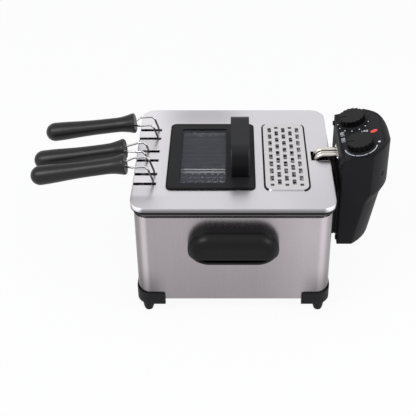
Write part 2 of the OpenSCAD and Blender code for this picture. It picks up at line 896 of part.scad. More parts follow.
// thin feeler that runs between the tubes down to the oil
module sensor_bulb() {
  bulb_d = 5;
  bulb_len = 60;
  color(CHROME) {
    tube_x(heater_x + heater_bend, head_x + 10, 0, heater_top_z, sensor_d);
    bend_down(heater_x, 0, heater_top_z, heater_bend, sensor_d);
    translate([heater_x, 0, heater_z + 30])
      cylinder(h = heater_top_z - heater_bend - heater_z - 30, d = sensor_d);
    translate([heater_x, 0, heater_z + 30]) cylinder(h = bulb_len, d = bulb_d);
  }
}

// ---------- control head ----------

// height of the panel's face above the table at x
function panel_z(x) = panel_z0 + (x - head_x) * tan(panel_tilt);

// places a shape on the panel's face, with +Z along the panel's normal
module on_panel(x, y, depth = 0) {
  translate([x, y, panel_z(x)]) rotate([0, -panel_tilt, 0]) translate([0, 0, -depth]) children();
}

// the head seen from above, moved inward by i
module head_plan(i) {
  intersection() {
    translate([back_x, 0]) circle(back_r - i, $fn = 160);
    translate([head_x - plan_spare, -head_y + i])
      square([head_length + plan_spare + over, head_width - 2 * i]);
  }
}

// slice of the head between two heights, leaning as its back stands in0 and then in1 inward
module head_slice(i, z0, z1, in0, in1) {
  lean = (in0 - in1) / (z1 - z0);
  multmatrix([[1, 0, lean, -in0], [0, 1, 0, 0], [0, 0, 1, z0], [0, 0, 0, 1]])
    linear_extrude(z1 - z0) head_plan(i);
}

// the head seen from the side, moved inward by i: x and z
function head_side(i) =
  let (
    xc = head_back - head_round,
    zc = panel_z(xc) - head_round / cos(panel_tilt)
  )
  concat(
    [
      [head_x, head_bottom + i],
      [head_back - i, head_bottom + i]
    ],
    [for (a = [0 : 13 : 90 + panel_tilt])
      [xc + (head_round - i) * cos(a), zc + (head_round - i) * sin(a)]],
    [[head_x, panel_z(head_x) - i / cos(panel_tilt)]]
  );

module head_solid(i) {
  intersection() {
    union() {
      translate([0, 0, shoulder_high])
        linear_extrude(panel_z(head_back) - shoulder_high + over) head_plan(i);
      head_slice(i, shoulder_low, shoulder_high, waist_in, 0);
      head_slice(i, head_bottom - over, shoulder_low, toe_in, waist_in);
    }
    translate([0, head_width, 0])
      rotate(TO_RIGHT) linear_extrude(2 * head_width) polygon(head_side(i));
  }
}

// the control panel's plate, smaller by gap all round
module panel_solid(gap) {
  rim = head_wall + 1.5;
  intersection() {
    translate([0, 0, head_bottom])
      linear_extrude(panel_z(head_back) - head_bottom + 10) head_plan(rim + gap);
    on_panel(head_x, 0, panel_thick)
      translate([rim + gap, -head_width, 0])
        cube([head_length - 4 * rim - 2 * gap, 2 * head_width, panel_thick + over]);
    translate([0, head_width, 0])
      rotate(TO_RIGHT) linear_extrude(2 * head_width) polygon(head_side(0));
  }
}

// places a shape on the rounded back, its +Z pointing outward
module on_back(angle, z) {
  translate([back_x, 0, z]) rotate([0, 90, angle]) translate([0, 0, back_r]) children();
}

// places a shape on the axes of both controls, depth below the panel's face
module at_controls(depth) {
  on_panel(head_x + thermostat_x, -thermostat_y, depth) children();
  on_panel(head_x + timer_x, timer_y, depth) children();
}

module at_lamp(depth) {
  on_panel(lamp_x, lamp_y, depth) rotate(lamp_turn) children();
}

// the lamp's oblong, larger by grow all round
module lamp2d(grow) {
  middle = lamp_length - lamp_width;
  square([middle, lamp_width + 2 * grow], center = true);
  for (s = [-1, 1]) translate([s * middle / 2, 0]) circle(d = lamp_width + 2 * grow);
}

module head_shell() {
  color(BLACK)
    difference() {
      head_solid(0);
      difference() {
        head_solid(head_wall);
        // screw posts for the back cover
        for (sy = [-1, 1], z = [head_bottom + post_rise, panel_z0 - post_drop])
          translate([head_x, sy * post_y, z]) rotate(TO_X) cylinder(h = 16, d = post_d);
      }
      // open inner side, closed by the back cover
      translate([head_x - over, -head_y + head_wall, head_bottom + head_wall])
        cube([cover_thick + over + fit_gap, head_width - 2 * head_wall,
          panel_z0 - head_bottom - 2 * head_wall]);
      panel_solid(0);
      at_controls(8) cylinder(h = 12, d = 2 * shaft_d);
      at_lamp(8) linear_extrude(12) lamp2d(0.5);
      for (sy = [-1, 1], z = [head_bottom + post_rise, panel_z0 - post_drop])
        translate([head_x - over, sy * post_y, z])
          rotate(TO_X) cylinder(h = 14, d = screw_d + shaft_gap);
      // cord inlet and reset button
      translate([head_back - head_wall - over, -inlet_w / 2, inlet_z - inlet_h / 2])
        cube([head_wall + 2 * over, inlet_w, inlet_h]);
      on_back(reset_angle, reset_z)
        translate([0, 0, -head_wall - over]) cylinder(h = head_wall + 3, d = reset_d + 2 * shaft_gap);
    }
}

module head_back_cover() {
  h = panel_z0 - head_bottom - 2 * head_wall - fit_gap;
  w = head_width - 2 * head_wall - fit_gap;
  boss_x = wall_x + bracket_thick + slide_gap + 0.2;
  color(BLACK)
    difference() {
      union() {
        translate([head_x, -w / 2, head_bottom + head_wall + fit_gap / 2])
          cube([cover_thick, w, h]);
        // block that stands against the bracket
        translate([boss_x, -bracket_y, bracket_z0])
          cube([head_x - boss_x + cover_thick, 2 * bracket_y, bracket_z1 - bracket_z0]);
        // tongue that slides down into the bracket
        translate([wall_x, 0, bracket_z0 + rail_floor + slide_gap])
          linear_extrude(bracket_z1 - bracket_z0 - rail_floor - slide_gap)
            rail2d(-0.1, boss_x - wall_x - rail_back + over);
      }
      // hollow block
      translate([boss_x + 2.5, -plunger_y + 10, bracket_z0 + 3])
        cube([head_x - boss_x + cover_thick, 2 * (plunger_y - 10), bracket_z1 - bracket_z0 - 6]);
      for (y = [-heater_spacing / 2, heater_spacing / 2])
        tube_x(head_x - over, head_x + cover_thick + over, y, heater_top_z, heater_d);
      tube_x(head_x - over, head_x + cover_thick + over, 0, heater_top_z, sensor_d);
      for (sy = [-1, 1], z = [head_bottom + post_rise, panel_z0 - post_drop])
        translate([head_x - over, sy * post_y, z])
          rotate(TO_X) cylinder(h = cover_thick + 2 * over, d = screw_d);
      // hole for the interlock's plunger
      translate([boss_x - over, plunger_y, plunger_z])
        rotate(TO_X)
          cylinder(h = head_x - boss_x + cover_thick + 2 * over, d = plunger_d + 2 * shaft_gap);
    }
}

module control_panel() {
  color(BLACK)
    difference() {
      panel_solid(fit_gap);
      at_controls(8) cylinder(h = 12, d = shaft_d + 2 * shaft_gap);
      at_lamp(8) linear_extrude(12) lamp2d(0);
    }
}

module control_case(x, y, size, depth) {
  on_panel(head_x + x, y, head_wall + depth)
    difference() {
      cylinder(h = depth, d = size);
      translate([0, 0, -over]) cylinder(h = depth + 2 * over, d = shaft_d + 2 * shaft_gap);
    }
}

module thermostat() {
  color(CREAM) control_case(thermostat_x, -thermostat_y, thermostat_d, thermostat_depth);
}

module timer() {
  color(STEEL) control_case(timer_x, timer_y, timer_d, timer_depth);
}

module control_shaft(x, y) {
  on_panel(head_x + x, y, shaft_down)
    cylinder(h = shaft_down + knob_lift + knob_height - shaft_seat, d = shaft_d);
}

module timer_shaft() {
  color(BRASS) control_shaft(timer_x, timer_y);
}

module thermostat_shaft() {
  color(BRASS) control_shaft(thermostat_x, -thermostat_y);
}

module control_knob(x, y) {
  skirt = 3;
  body_d = knob_d - 4;
  flute_d = 4;
  flute_out = 0.6;
  groove = 1.6;
  color(BLACK)
    on_panel(head_x + x, y, -knob_lift)
      difference() {
        union() {
          cylinder(h = skirt, d = knob_d);
          translate([0, 0, skirt])
            linear_extrude(knob_height - skirt)
              difference() {
                circle(d = body_d);
                for (k = [0 : knob_flutes - 1])
                  rotate((k + 0.5) * 360 / knob_flutes)
                    translate([body_d / 2 + flute_out, 0]) circle(d = flute_d);
              }
        }
        // pointer groove
        translate([-body_d / 2 - over, -groove / 2, knob_height - groove / 2])
          cube([body_d / 3, groove, groove]);
        translate([0, 0, -over]) cylinder(h = knob_height - shaft_seat + over, d = shaft_d);
      }
}

module timer_knob() {
  control_knob(timer_x, timer_y);
}

module thermostat_knob() {
  control_knob(thermostat_x, -thermostat_y);
}

module lamp_lens() {
  color(RED) at_lamp(head_wall) linear_extrude(head_wall + 0.6) lamp2d(0);
}

module lamp_holder() {
  holder_h = 12;
  color(CREAM) at_lamp(head_wall + holder_h) linear_extrude(holder_h) lamp2d(0);
}

module terminal_block() {
  block = [14, 44, 16];
  block_z = head_bottom + 5;
  color(CREAM)
    difference() {
      translate([head_x + cover_thick, -block[1] / 2, block_z]) cube(block);
      for (i = [-2 : 2])
        translate([head_x + cover_thick + 8, i * 8.5, block_z + 4]) cylinder(h = 14, d = 3);
    }
}

module thermal_cutout() {
  color(CREAM)
    on_back(reset_angle, reset_z) translate([0, 0, -head_wall - 16]) cylinder(h = 10, d = 15);
}

module reset_button() {
  color(RED)
    on_back(reset_angle, reset_z)
      translate([0, 0, -head_wall - 6 + reset_travel + slide_gap])
        cylinder(h = head_wall + 6 - reset_travel - slide_gap - 0.6, d = reset_d);
}

module interlock_switch() {
  x0 = head_x + cover_thick;
  color(CREAM)
    difference() {
      translate([x0, plunger_y - 10, plunger_z - 8]) cube([16, 20, 28]);
      translate([x0 - over, plunger_y, plunger_z])
        rotate(TO_X) cylinder(h = plunger_travel + 3, d = plunger_d + 2 * shaft_gap);
    }
}

module interlock_plunger() {
  x0 = wall_x + bracket_thick + slide_gap;
  color(RED)
    translate([x0, plunger_y, plunger_z])
      rotate(TO_X) cylinder(h = head_x + cover_thick + 1 - x0, d = plunger_d);
}

module cord_inlet() {
  x0 = head_back - inlet_depth - head_wall;
  color(BLACK)
    difference() {
      translate([x0, -inlet_w / 2, inlet_z - inlet_h / 2])
        cube([inlet_depth + head_wall - 1, inlet_w, inlet_h]);
      translate([x0 + inlet_wall, -inlet_w / 2 + inlet_wall, inlet_z - inlet_h / 2 + inlet_wall])
        cube([inlet_depth + head_wall, inlet_w - 2 * inlet_wall, inlet_h - 2 * inlet_wall]);
      inlet_pair() cylinder(h = inlet_depth, d = contact_d);
    }
}

// places a shape at each contact's inner end, +Z outward along +X
module inlet_pair() {
  for (y = [-contact_y, contact_y])
    translate([head_back - inlet_depth - head_wall - 6, y, inlet_z]) rotate(TO_X) children();
}

module inlet_contacts() {
  color(BRASS) inlet_pair() cylinder(h = inlet_depth + 2, d = contact_d);
}

module head_screws() {
  color(CHROME)
    for (sy = [-1, 1], z = [head_bottom + post_rise, panel_z0 - post_drop])
      translate([head_x, sy * post_y, z])
        rotate([0, -90, 0]) screw(12);
}

// ---------- lid ----------

// the six slots and the notch, as cuts through everything at the lid's edge
module edge_cuts() {
  depth = lid_top - seal_z + 2 * over;
  handle_ys = [-small_handle_y, 0, small_handle_y];
  for (y = handle_ys, s = [-1, 1])
    translate([-edge_x - over, y + s * wire_spacing / 2 - wire_slot_width / 2, seal_z - over])
      cube([wire_slot_length + over, wire_slot_width, depth]);
  translate([notch_end, -notch_width / 2, seal_z - over])
    cube([edge_x - notch_end + over, notch_width, depth]);
}

module lid_shell() {
  color(STEEL)
    difference() {
      union() {
        translate([0, 0, lid_under])
          linear_extrude(lid_sheet) plate2d(lid_length, lid_width, lid_corner);
        translate([0, 0, skirt_z])
          linear_extrude(lid_skirt)
            frame2d(lid_length, lid_width, lid_corner, lid_length - 2 * lid_sheet,
              lid_width - 2 * lid_sheet, lid_corner - lid_sheet);
      }
      translate([glass_x, 0, lid_under - over])
        linear_extrude(lid_sheet + 2 * over)
          plate2d(glass_length + 2 * hole_margin, glass_width + 2 * hole_margin, bezel_corner);
      translate([vent_x, 0, lid_under - over])
        linear_extrude(lid_sheet + 2 * over)
          plate2d(vent_length - 2 * vent_rim, vent_width - 2 * vent_rim, vent_corner - vent_rim);
      for (s = [-1, 1])
        translate([arch_x, s * (arch_length / 2 - arch_bar / 2), lid_under - over])
          cylinder(h = lid_sheet + 2 * over, d = screw_d + shaft_gap);
      edge_cuts();
    }
}

module lid_seal() {
  l = lid_length - 2 * lid_sheet;
  w = lid_width - 2 * lid_sheet;
  r = lid_corner - lid_sheet;
  color(RUBBER)
    difference() {
      translate([0, 0, seal_z])
        linear_extrude(seal_height)
          frame2d(l, w, r, l - 2 * seal_width, w - 2 * seal_width, r - seal_width);
      edge_cuts();
    }
}

module window_bezel() {
  color(BLACK)
    difference() {
      translate([bezel_x, 0, lid_top])
        linear_extrude(bezel_height) plate2d(bezel_length, bezel_width, bezel_corner);
      translate([glass_x, 0, lid_top - over])
        linear_extrude(bezel_height + 2 * over) plate2d(glass_length, glass_width, 3);
      // seat for the glass, from below
      translate([glass_x, 0, lid_top - over])
        linear_extrude(bezel_height - glass_step + over)
          plate2d(glass_length + 2 * glass_rim, glass_width + 2 * glass_rim, 4);
      for (s = [-1, 1])
        translate([arch_x, s * (arch_length / 2 - arch_bar / 2), lid_top - over])
          cylinder(h = bezel_height + 2 * over, d = screw_d + shaft_gap);
    }
}

module window_glass() {
  color(GLASS)
    translate([glass_x, 0, lid_top + bezel_height - glass_step - glass_thick])
      linear_extrude(glass_thick)
        plate2d(glass_length + 2 * (glass_rim - fit_gap),
          glass_width + 2 * (glass_rim - fit_gap), 4);
}

// rubber frame that holds the glass up against the bezel, in the lid's opening
module window_gasket() {
  low = lid_under - gasket_drop;
  seat = lid_top + bezel_height - glass_step - glass_thick;
  out_l = glass_length + 2 * hole_margin;
  out_w = glass_width + 2 * hole_margin;
  color(RUBBER)
    translate([glass_x, 0, low]) {
      linear_extrude(seat - low)
        frame2d(out_l, out_w, bezel_corner, glass_length - 2, glass_width - 2, 3);
      linear_extrude(lid_top - low)
        frame2d(out_l, out_w, bezel_corner, glass_length + 2 * glass_rim,
          glass_width + 2 * glass_rim, 4);
    }
}

// the handle's outline seen from the grips, as y and height above the lid
module arch2d() {
  in_l = arch_length - 2 * arch_bar - 2;
  in_h = arch_height - arch_bar;
  r = 24;
  in_r = 13;
  difference() {
    union() {
      translate([-arch_length / 2, bezel_height])
        square([arch_length, arch_height - r - bezel_height]);
      translate([-arch_length / 2 + r, bezel_height])
        square([arch_length - 2 * r, arch_height - bezel_height]);
      for (s = [-1, 1]) translate([s * (arch_length / 2 - r), arch_height - r]) circle(r);
    }
    // nothing below the bezel's top
    translate([-arch_length / 2, bezel_height - arch_height])
      square([arch_length, arch_height]);
    translate([-in_l / 2, bezel_height - over])
      square([in_l, in_h - in_r - bezel_height + over]);
    translate([-in_l / 2 + in_r, bezel_height - over])
      square([in_l - 2 * in_r, in_h - bezel_height + over]);
    for (s = [-1, 1]) translate([s * (in_l / 2 - in_r), in_h - in_r]) circle(in_r);
  }
}

module lid_handle() {
  color(BLACK)
    difference() {
      translate([arch_x - arch_width / 2, 0, lid_top])
        rotate([90, 0, 90]) linear_extrude(arch_width) arch2d();
      for (s = [-1, 1])
        translate([arch_x, s * (arch_length / 2 - arch_bar / 2), lid_top])
          cylinder(h = bezel_height + 10, d = screw_d);
    }
}

module lid_handle_screws() {
  color(CHROME)
    for (s = [-1, 1])
      translate([arch_x, s * (arch_length / 2 - arch_bar / 2), lid_under])
        rotate([180, 0, 0]) screw(bezel_height + 8);
}

// one row of slots along Y; every second row is shifted by half a step
module vent_row(shifted) {
  count = floor((vent_width - 2 * vent_corner) / vent_slot_pitch);
  start = -(count - 1) / 2 * vent_slot_pitch;
  short = vent_slot_length / 2 - 1;
  for (i = [0 : count - 1])
    translate([0, start + (i - (shifted ? 0.25 : -0.25)) * vent_slot_pitch])
      square([vent_slot_width, vent_slot_length], center = true);
  // a short slot fills the row's other end
  translate([0, (shifted ? 1 : -1) * (-start + 0.62 * vent_slot_pitch)])
    square([vent_slot_width, short], center = true);
}

module vent_panel() {
  rows = 5;
  color(CHROME)
    translate([vent_x, 0, lid_top])
      linear_extrude(1.5)
        difference() {
          plate2d(vent_length, vent_width, vent_corner);
          for (i = [0 : rows - 1])
            translate([(i - (rows - 1) / 2) * vent_row_pitch, 0]) vent_row(i % 2 == 1);
        }
}

module filter_mesh() {
  bar_pitch = 8.5;
  bar_count = floor((filter_w - 4 * filter_lip) / bar_pitch);
  color(STEEL)
    translate([vent_x, 0, lid_under - filter_height / 2])
      linear_extrude(1)
        difference() {
          plate2d(filter_l - 2 * filter_tuck, filter_w - 2 * filter_tuck, 3);
          for (i = [0 : bar_count - 1])
            translate([0, (i - (bar_count - 1) / 2) * bar_pitch])
              square([filter_l - 4 * filter_lip, bar_pitch / 2], center = true);
        }
}

module filter_frame() {
  color(STEEL)
    translate([vent_x, 0, lid_under - filter_height])
      difference() {
        linear_extrude(filter_height)
          frame2d(filter_l, filter_w, 5, filter_l - 2 * filter_lip, filter_w - 2 * filter_lip, 2);
        translate([0, 0, filter_height / 2])
          linear_extrude(1) plate2d(filter_l - 2 * filter_tuck, filter_w - 2 * filter_tuck, 3);
      }
}

// ---------- baskets ----------

// slots that leave a margin round a grille of size l by w
module grille_slots(l, w) {
  margin = 6;
  count = floor((l - 2 * margin) / mesh_pitch);
  for (i = [0 : count - 1])
    translate([(i - (count - 1) / 2) * mesh_pitch, 0])
      square([mesh_slot, w - 2 * margin], center = true);
}

// upright grille along X, its outer face at y = 0 and its lower edge at z = 0
module wall_grille(l, h) {
  translate([0, mesh_sheet, h / 2])
    rotate(TO_RIGHT)
      linear_extrude(mesh_sheet)
        difference() {
          square([l, h], center = true);
          grille_slots(l, h);
        }
}

// five flat grilles and four corner strips, each a solid of its own
module basket_mesh(x0, x1, y, w, z0, height) {
  l = x1 - x0;
  r = basket_corner;
  seam = 0.2;
  wall_h = height - 1.5 * frame_wire;
  floor_in = frame_wire + mesh_sheet + seam / 2;
  color(STEEL)
    translate([(x0 + x1) / 2, y, z0 + frame_wire]) {
      linear_extrude(mesh_sheet)
        difference() {
          plate2d(l - 2 * floor_in, w - 2 * floor_in, r - floor_in);
          grille_slots(l - 2 * r, w - 2 * floor_in);
        }
      for (s = [0, 1]) {
        rotate(180 * s)
          translate([0, -w / 2 + frame_wire, 0]) wall_grille(l - 2 * r - seam, wall_h);
        rotate(90 + 180 * s)
          translate([0, -l / 2 + frame_wire, 0]) wall_grille(w - 2 * r - seam, wall_h);
      }
      for (sx = [-1, 1], sy = [-1, 1])
        translate([sx * (l / 2 - r), sy * (w / 2 - r), 0])
          linear_extrude(wall_h)
            intersection() {
              difference() {
                circle(r - frame_wire);
                circle(r - frame_wire - mesh_sheet);
              }
              translate([sx > 0 ? 0 : -r, sy > 0 ? 0 : -r]) square(r);
            }
    }
}

// rim and foot wires, cross wires under the floor, uprights, and the handle's socket
module basket_frame(x0, x1, y, w, z0, height, handle_y, wire_x) {
  l = x1 - x0;
  r = basket_corner;
  top = z0 + height - frame_wire / 2;
  low = z0 + frame_wire / 2;
  mid = (x0 + x1) / 2;
  half_w = frame_wire / 2;
  rib = 0.9 * frame_wire;
  color(CHROME) {
    for (z = [low, top])
      translate([mid, y, z]) wire_loop(l - frame_wire, w - frame_wire, r - half_w, frame_wire);
    for (x = [x0 + l * 0.3, x0 + l * 0.7])
      rod([x, y - w / 2 + half_w, low], [x, y + w / 2 - half_w, low], rib);
    for (x = [x0 + r + 4, mid, x1 - r - 4], s = [-1, 1])
      translate([x, y + s * (w / 2 - half_w), low]) cylinder(h = top - low, d = rib);
    for (x = [x0 + half_w, x1 - half_w])
      translate([x, y, low]) cylinder(h = top - low, d = rib);
    // socket plate that holds the two handle wires
    translate([wire_x + handle_wire / 2, handle_y - wire_spacing / 2 - 4, top - socket_height])
      cube([x0 + frame_wire - wire_x - handle_wire / 2, wire_spacing + 8, socket_height]);
  }
}

// points of one handle wire: from the socket up through the slot, level over the lid's edge
// and then, drawing together, into the grip
function wire_points(wire_x, y, s, low, drop, slope, reach) =
  let (
    apart = s * wire_spacing / 2,
    near = s * wire_neck / 2,
    top = lid_top + wire_top - drop,
    mouth_x = wire_x - wire_lean - reach,
    mouth_z = top - wire_drop
  )
  [
    [wire_x, y + apart, low],
    [wire_x, y + apart, lid_top - drop],
    [wire_x - 0.75 * wire_lean, y + apart, top - 0.18 * wire_top],
    [wire_x - 1.3 * wire_lean, y + apart, top],
    [1 - edge_x, y + apart, top - 0.4 * wire_drop],
    [mouth_x, y + near, mouth_z],
    [mouth_x - wire_entry * cos(slope), y + near, mouth_z - wire_entry * sin(slope)]
  ];

module basket_wires(wire_x, y, low, drop, slope, reach) {
  color(CHROME)
    for (s = [-1, 1])
      bent_rod(wire_points(wire_x, y, s, low, drop, slope, reach), handle_wire);
}

// half outline of the grip: distance along it and radius, flared guard first
function grip_outline() =
  let (
    guard = grip_guard / 2,
    waist = grip_waist / 2,
    bulb = grip_bulb / 2,
    neck = 0.2 * grip_length,
    far = grip_length - bulb
  )
  concat(
    [[0, 0], [0, guard - 1.5], [1.5, guard], [4, guard]],
    [for (t = [0.25 : 0.25 : 1]) [4 + (neck - 4) * t, guard + (waist - guard) * sin(90 * t)]],
    [for (t = [0.125 : 0.125 : 1])
      [neck + (far - neck) * t, waist + (bulb - waist) * (1 - cos(180 * pow(t, waist_run))) / 2]],
    [for (a = [15 : 15 : 90]) [far + bulb * sin(a), bulb * cos(a)]]
  );

module basket_grip(wire_x, y, drop, slope, reach) {
  color(BLACK)
    translate([wire_x - wire_lean - reach, y, lid_top + wire_top - wire_drop - drop])
      rotate([0, 180 + 90 - slope, 0])
        difference() {
          rotate_extrude() polygon([for (p = grip_outline()) [p[1], p[0]]]);
          for (s = [-1, 1])
            translate([0, s * wire_neck / 2, -over])
              cylinder(h = wire_entry + over, d = bend_swell * handle_wire + shaft_gap);
        }
}

// ---------- nodes ----------

housing_shell();
base_plate();
corner_foot(-1, -1);  // foot_grip_right
corner_foot(-1, 1);  // foot_grip_left
corner_foot(1, -1);  // foot_head_right
corner_foot(1, 1);  // foot_head_left
foot_pads();
foot_screws();
carry_handle(-1);  // carry_handle_right
carry_handle(1);  // carry_handle_left
carry_handle_screws();
head_bracket();
bracket_screws();
oil_pot();
head_shell();
head_back_cover();
control_panel();
heating_element();
element_clip();
tube_clamp();
sensor_bulb();
thermostat();
timer();
timer_shaft();
thermostat_shaft();
timer_knob();
thermostat_knob();
lamp_lens();
lamp_holder();
terminal_block();
thermal_cutout();
reset_button();
interlock_switch();
interlock_plunger();
cord_inlet();
inlet_contacts();
head_screws();
lid_shell();
lid_seal();
window_bezel();
window_glass();
window_gasket();
lid_handle();
lid_handle_screws();
vent_panel();
filter_mesh();
filter_frame();
basket_mesh(large_x0, large_x1, 0, large_w, large_z0, large_height);  // large_basket_mesh
basket_frame(large_x0, large_x1, 0, large_w, large_z0, large_height, 0, large_wire_x);  // large_basket_frame
basket_wires(large_wire_x, 0, large_wire_z, large_handle_drop, low_grip_slope, large_wire_reach);  // large_basket_wires
basket_grip(large_wire_x, 0, large_handle_drop, low_grip_slope, large_wire_reach);  // large_basket_grip
basket_mesh(small_x0, small_x1, -small_y, small_w, small_z0, small_height);  // right_basket_mesh
basket_frame(small_x0, small_x1, -small_y, small_w, small_z0, small_height,  // right_basket_frame
    -small_handle_y, small_wire_x);
basket_wires(small_wire_x, -small_handle_y, small_wire_z, -right_handle_lift, low_grip_slope,  // right_basket_wires
    right_wire_reach);
basket_grip(small_wire_x, -small_handle_y, -right_handle_lift, low_grip_slope,  // right_basket_grip
    right_wire_reach);
basket_mesh(small_x0, small_x1, small_y, small_w, small_z0, small_height);  // left_basket_mesh
basket_frame(small_x0, small_x1, small_y, small_w, small_z0, small_height,  // left_basket_frame
    small_handle_y, small_wire_x);
basket_wires(small_wire_x, small_handle_y, small_wire_z, 0, grip_slope, left_wire_reach);  // left_basket_wires
basket_grip(small_wire_x, small_handle_y, 0, grip_slope, left_wire_reach);  // left_basket_grip
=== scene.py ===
# %% [markdown]
# # Deep fryer: looks
# The CAD model arrives as a fixed frame, in metres, with +X towards the control head, -X towards the
# basket grips and +Z up. This notebook gives every solid its finish, some with painted light and shade
# in their colour, and adds what solids can't show: woven basket wire, dial marks, a dark strip of
# painted shade round the vent and a small flange for the heater tubes.
#
# ## 1. Load the frame

# %% Load the frame
import json
import math

import bmesh
import bpy
import numpy as np
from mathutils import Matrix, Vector


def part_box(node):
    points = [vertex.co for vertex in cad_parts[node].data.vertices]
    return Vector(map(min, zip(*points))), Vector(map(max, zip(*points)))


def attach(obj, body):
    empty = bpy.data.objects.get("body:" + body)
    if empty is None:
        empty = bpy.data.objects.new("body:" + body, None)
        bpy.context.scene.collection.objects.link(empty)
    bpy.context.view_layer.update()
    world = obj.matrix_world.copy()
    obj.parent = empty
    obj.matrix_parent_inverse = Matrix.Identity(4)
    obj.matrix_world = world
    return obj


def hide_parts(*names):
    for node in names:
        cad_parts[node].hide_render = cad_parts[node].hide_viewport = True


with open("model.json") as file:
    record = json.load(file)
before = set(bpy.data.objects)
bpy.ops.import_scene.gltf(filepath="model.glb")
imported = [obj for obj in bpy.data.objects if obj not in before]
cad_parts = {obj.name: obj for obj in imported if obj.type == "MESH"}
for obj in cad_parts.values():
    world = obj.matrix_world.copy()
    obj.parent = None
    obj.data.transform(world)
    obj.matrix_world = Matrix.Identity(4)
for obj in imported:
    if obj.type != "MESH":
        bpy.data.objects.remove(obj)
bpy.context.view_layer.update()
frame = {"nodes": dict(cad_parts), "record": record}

NODES = frame["nodes"]

# %% [markdown]
# ## 2. Camera
# A long lens looks down on the fryer from its right-hand side. The shift slides the picture without
# turning the camera, so upright edges stay nearly parallel.

# %% Camera
LOOK_DOWN = 32
lens = bpy.data.cameras.new("camera")
camera = bpy.data.objects.new("camera", lens)
bpy.context.collection.objects.link(camera)
bpy.context.scene.camera = camera
camera.location = (-0.002, -1.150, 1.008)
camera.rotation_euler = (math.radians(90 - LOOK_DOWN), 0, 0)
lens.lens = 79.7
lens.sensor_width = 36
lens.shift_x = -0.0577
lens.shift_y = -0.2404
lens.clip_end = 30
lens.dof.use_dof = False
print("camera at", tuple(round(v, 3) for v in camera.location), "lens", lens.lens, "mm")

# %% [markdown]
# ## 3. Shader sums
# A material is a little circuit of nodes. `Signal` wraps one socket, so that a sum such as
# `0.3 + grain * 0.1` adds the Math nodes by itself. `make` adds any other node: first its settings,
# then a value or another signal for each of its sockets.

# %% Shader sums
class Signal:
    """One output socket of a shader node."""

    def __init__(self, tree, socket=None):
        self.tree, self.socket = tree, socket

    def make(self, kind, settings=None, sockets=None, out=0):
        node = self.tree.nodes.new(kind)
        for name, value in (settings or {}).items():
            setattr(node, name, value)
        for name, value in (sockets or {}).items():
            if isinstance(value, Signal):
                self.tree.links.new(value.socket, node.inputs[name])
            else:
                node.inputs[name].default_value = value
        return Signal(self.tree, node.outputs[out])

    def sum(self, operation, a, b=0):
        if self.socket.type == "VALUE":
            return self.make("ShaderNodeMath", {"operation": operation}, {0: a, 1: b})
        a, b = ((v,) * 3 if isinstance(v, (int, float)) else v for v in (a, b))
        return self.make("ShaderNodeVectorMath", {"operation": operation}, {0: a, 1: b})

    def __add__(self, other): return self.sum("ADD", self, other)
    def __radd__(self, other): return self.sum("ADD", other, self)
    def __sub__(self, other): return self.sum("SUBTRACT", self, other)
    def __rsub__(self, other): return self.sum("SUBTRACT", other, self)
    def __mul__(self, other): return self.sum("MULTIPLY", self, other)
    def __rmul__(self, other): return self.sum("MULTIPLY", other, self)
    def __abs__(self): return self.sum("ABSOLUTE", self)
    def sine(self): return self.sum("SINE", self)
    def root(self): return self.sum("SQRT", self)

    def step(self, low, high):
        """0 below low, 1 above high, and smooth between."""
        return self.make("ShaderNodeMapRange", {"interpolation_type": "SMOOTHSTEP"},
                         {"Value": self, "From Min": low, "From Max": high})

    def between(self, a, b):
        """Colour a where the signal is 0 and b where it is 1."""
        return self.make("ShaderNodeMix", {"data_type": "RGBA"}, {0: self, 6: (*a, 1), 7: (*b, 1)},
                         out=2)


def axes(signal):
    """The X, Y and Z of a vector signal."""
    parts = signal.make("ShaderNodeSeparateXYZ", None, {0: signal}).socket.node.outputs
    return [Signal(signal.tree, part) for part in parts]


def grey(tone):
    """A grey colour signal from one number signal."""
    return tone.make("ShaderNodeCombineXYZ", None, {0: tone, 1: tone, 2: tone})


def normal(place):
    """The direction a surface faces, in the object's own axes."""
    return axes(place.make("ShaderNodeTexCoord", out=1))


def noise(place, scale, detail=2, stretch=(1, 1, 1)):
    """Cloudy noise; stretch holds how many times finer it is along X, Y and Z."""
    return place.make("ShaderNodeTexNoise", None,
                      {"Vector": place * stretch, "Scale": scale, "Detail": detail})


def material(name, build):
    """A material whose Principled sockets come from build(place): a dict of values and signals."""
    mat = bpy.data.materials.new(name)
    mat.use_nodes = True
    tree = mat.node_tree
    shader = tree.nodes["Principled BSDF"]
    place = Signal(tree).make("ShaderNodeTexCoord", out=3)
    for socket, value in build(place).items():
        if isinstance(value, Signal):
            tree.links.new(value.socket, shader.inputs[socket])
        else:
            shader.inputs[socket].default_value = value
    return mat


def bumpy(height, strength, distance, edge=0.0):
    """A normal from a height signal; edge rounds hard corners to that radius."""
    sockets = {"Height": height, "Strength": strength, "Distance": distance}
    if edge:
        sockets["Normal"] = height.make("ShaderNodeBevel", {"samples": 6}, {"Radius": edge})
    return height.make("ShaderNodeBump", None, sockets)

print("shader helpers ready")

# %% [markdown]
# ## 4. Finishes
# Brushed steel is noise drawn out into long streaks: it moves the roughness and tilts the surface a
# little, so highlights smear across the grain. Sheet metal stands in a pale room above a darker
# bench, so faces that look sideways or down get painted shade: their colour is toned down by the
# direction they face, which gives folded edges and round wires their dark outline. Some parts also
# get painted highlights and reflections in their colour.

# %% Steel finishes
# The lowest edge of the lid's skirt, where its painted shadow line lies.
SKIRT_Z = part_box("lid_shell")[0][2]
# Above this height the pot is painted dark, as painted shade under the lid.
RIM_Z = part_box("oil_pot")[1][2] - 0.006


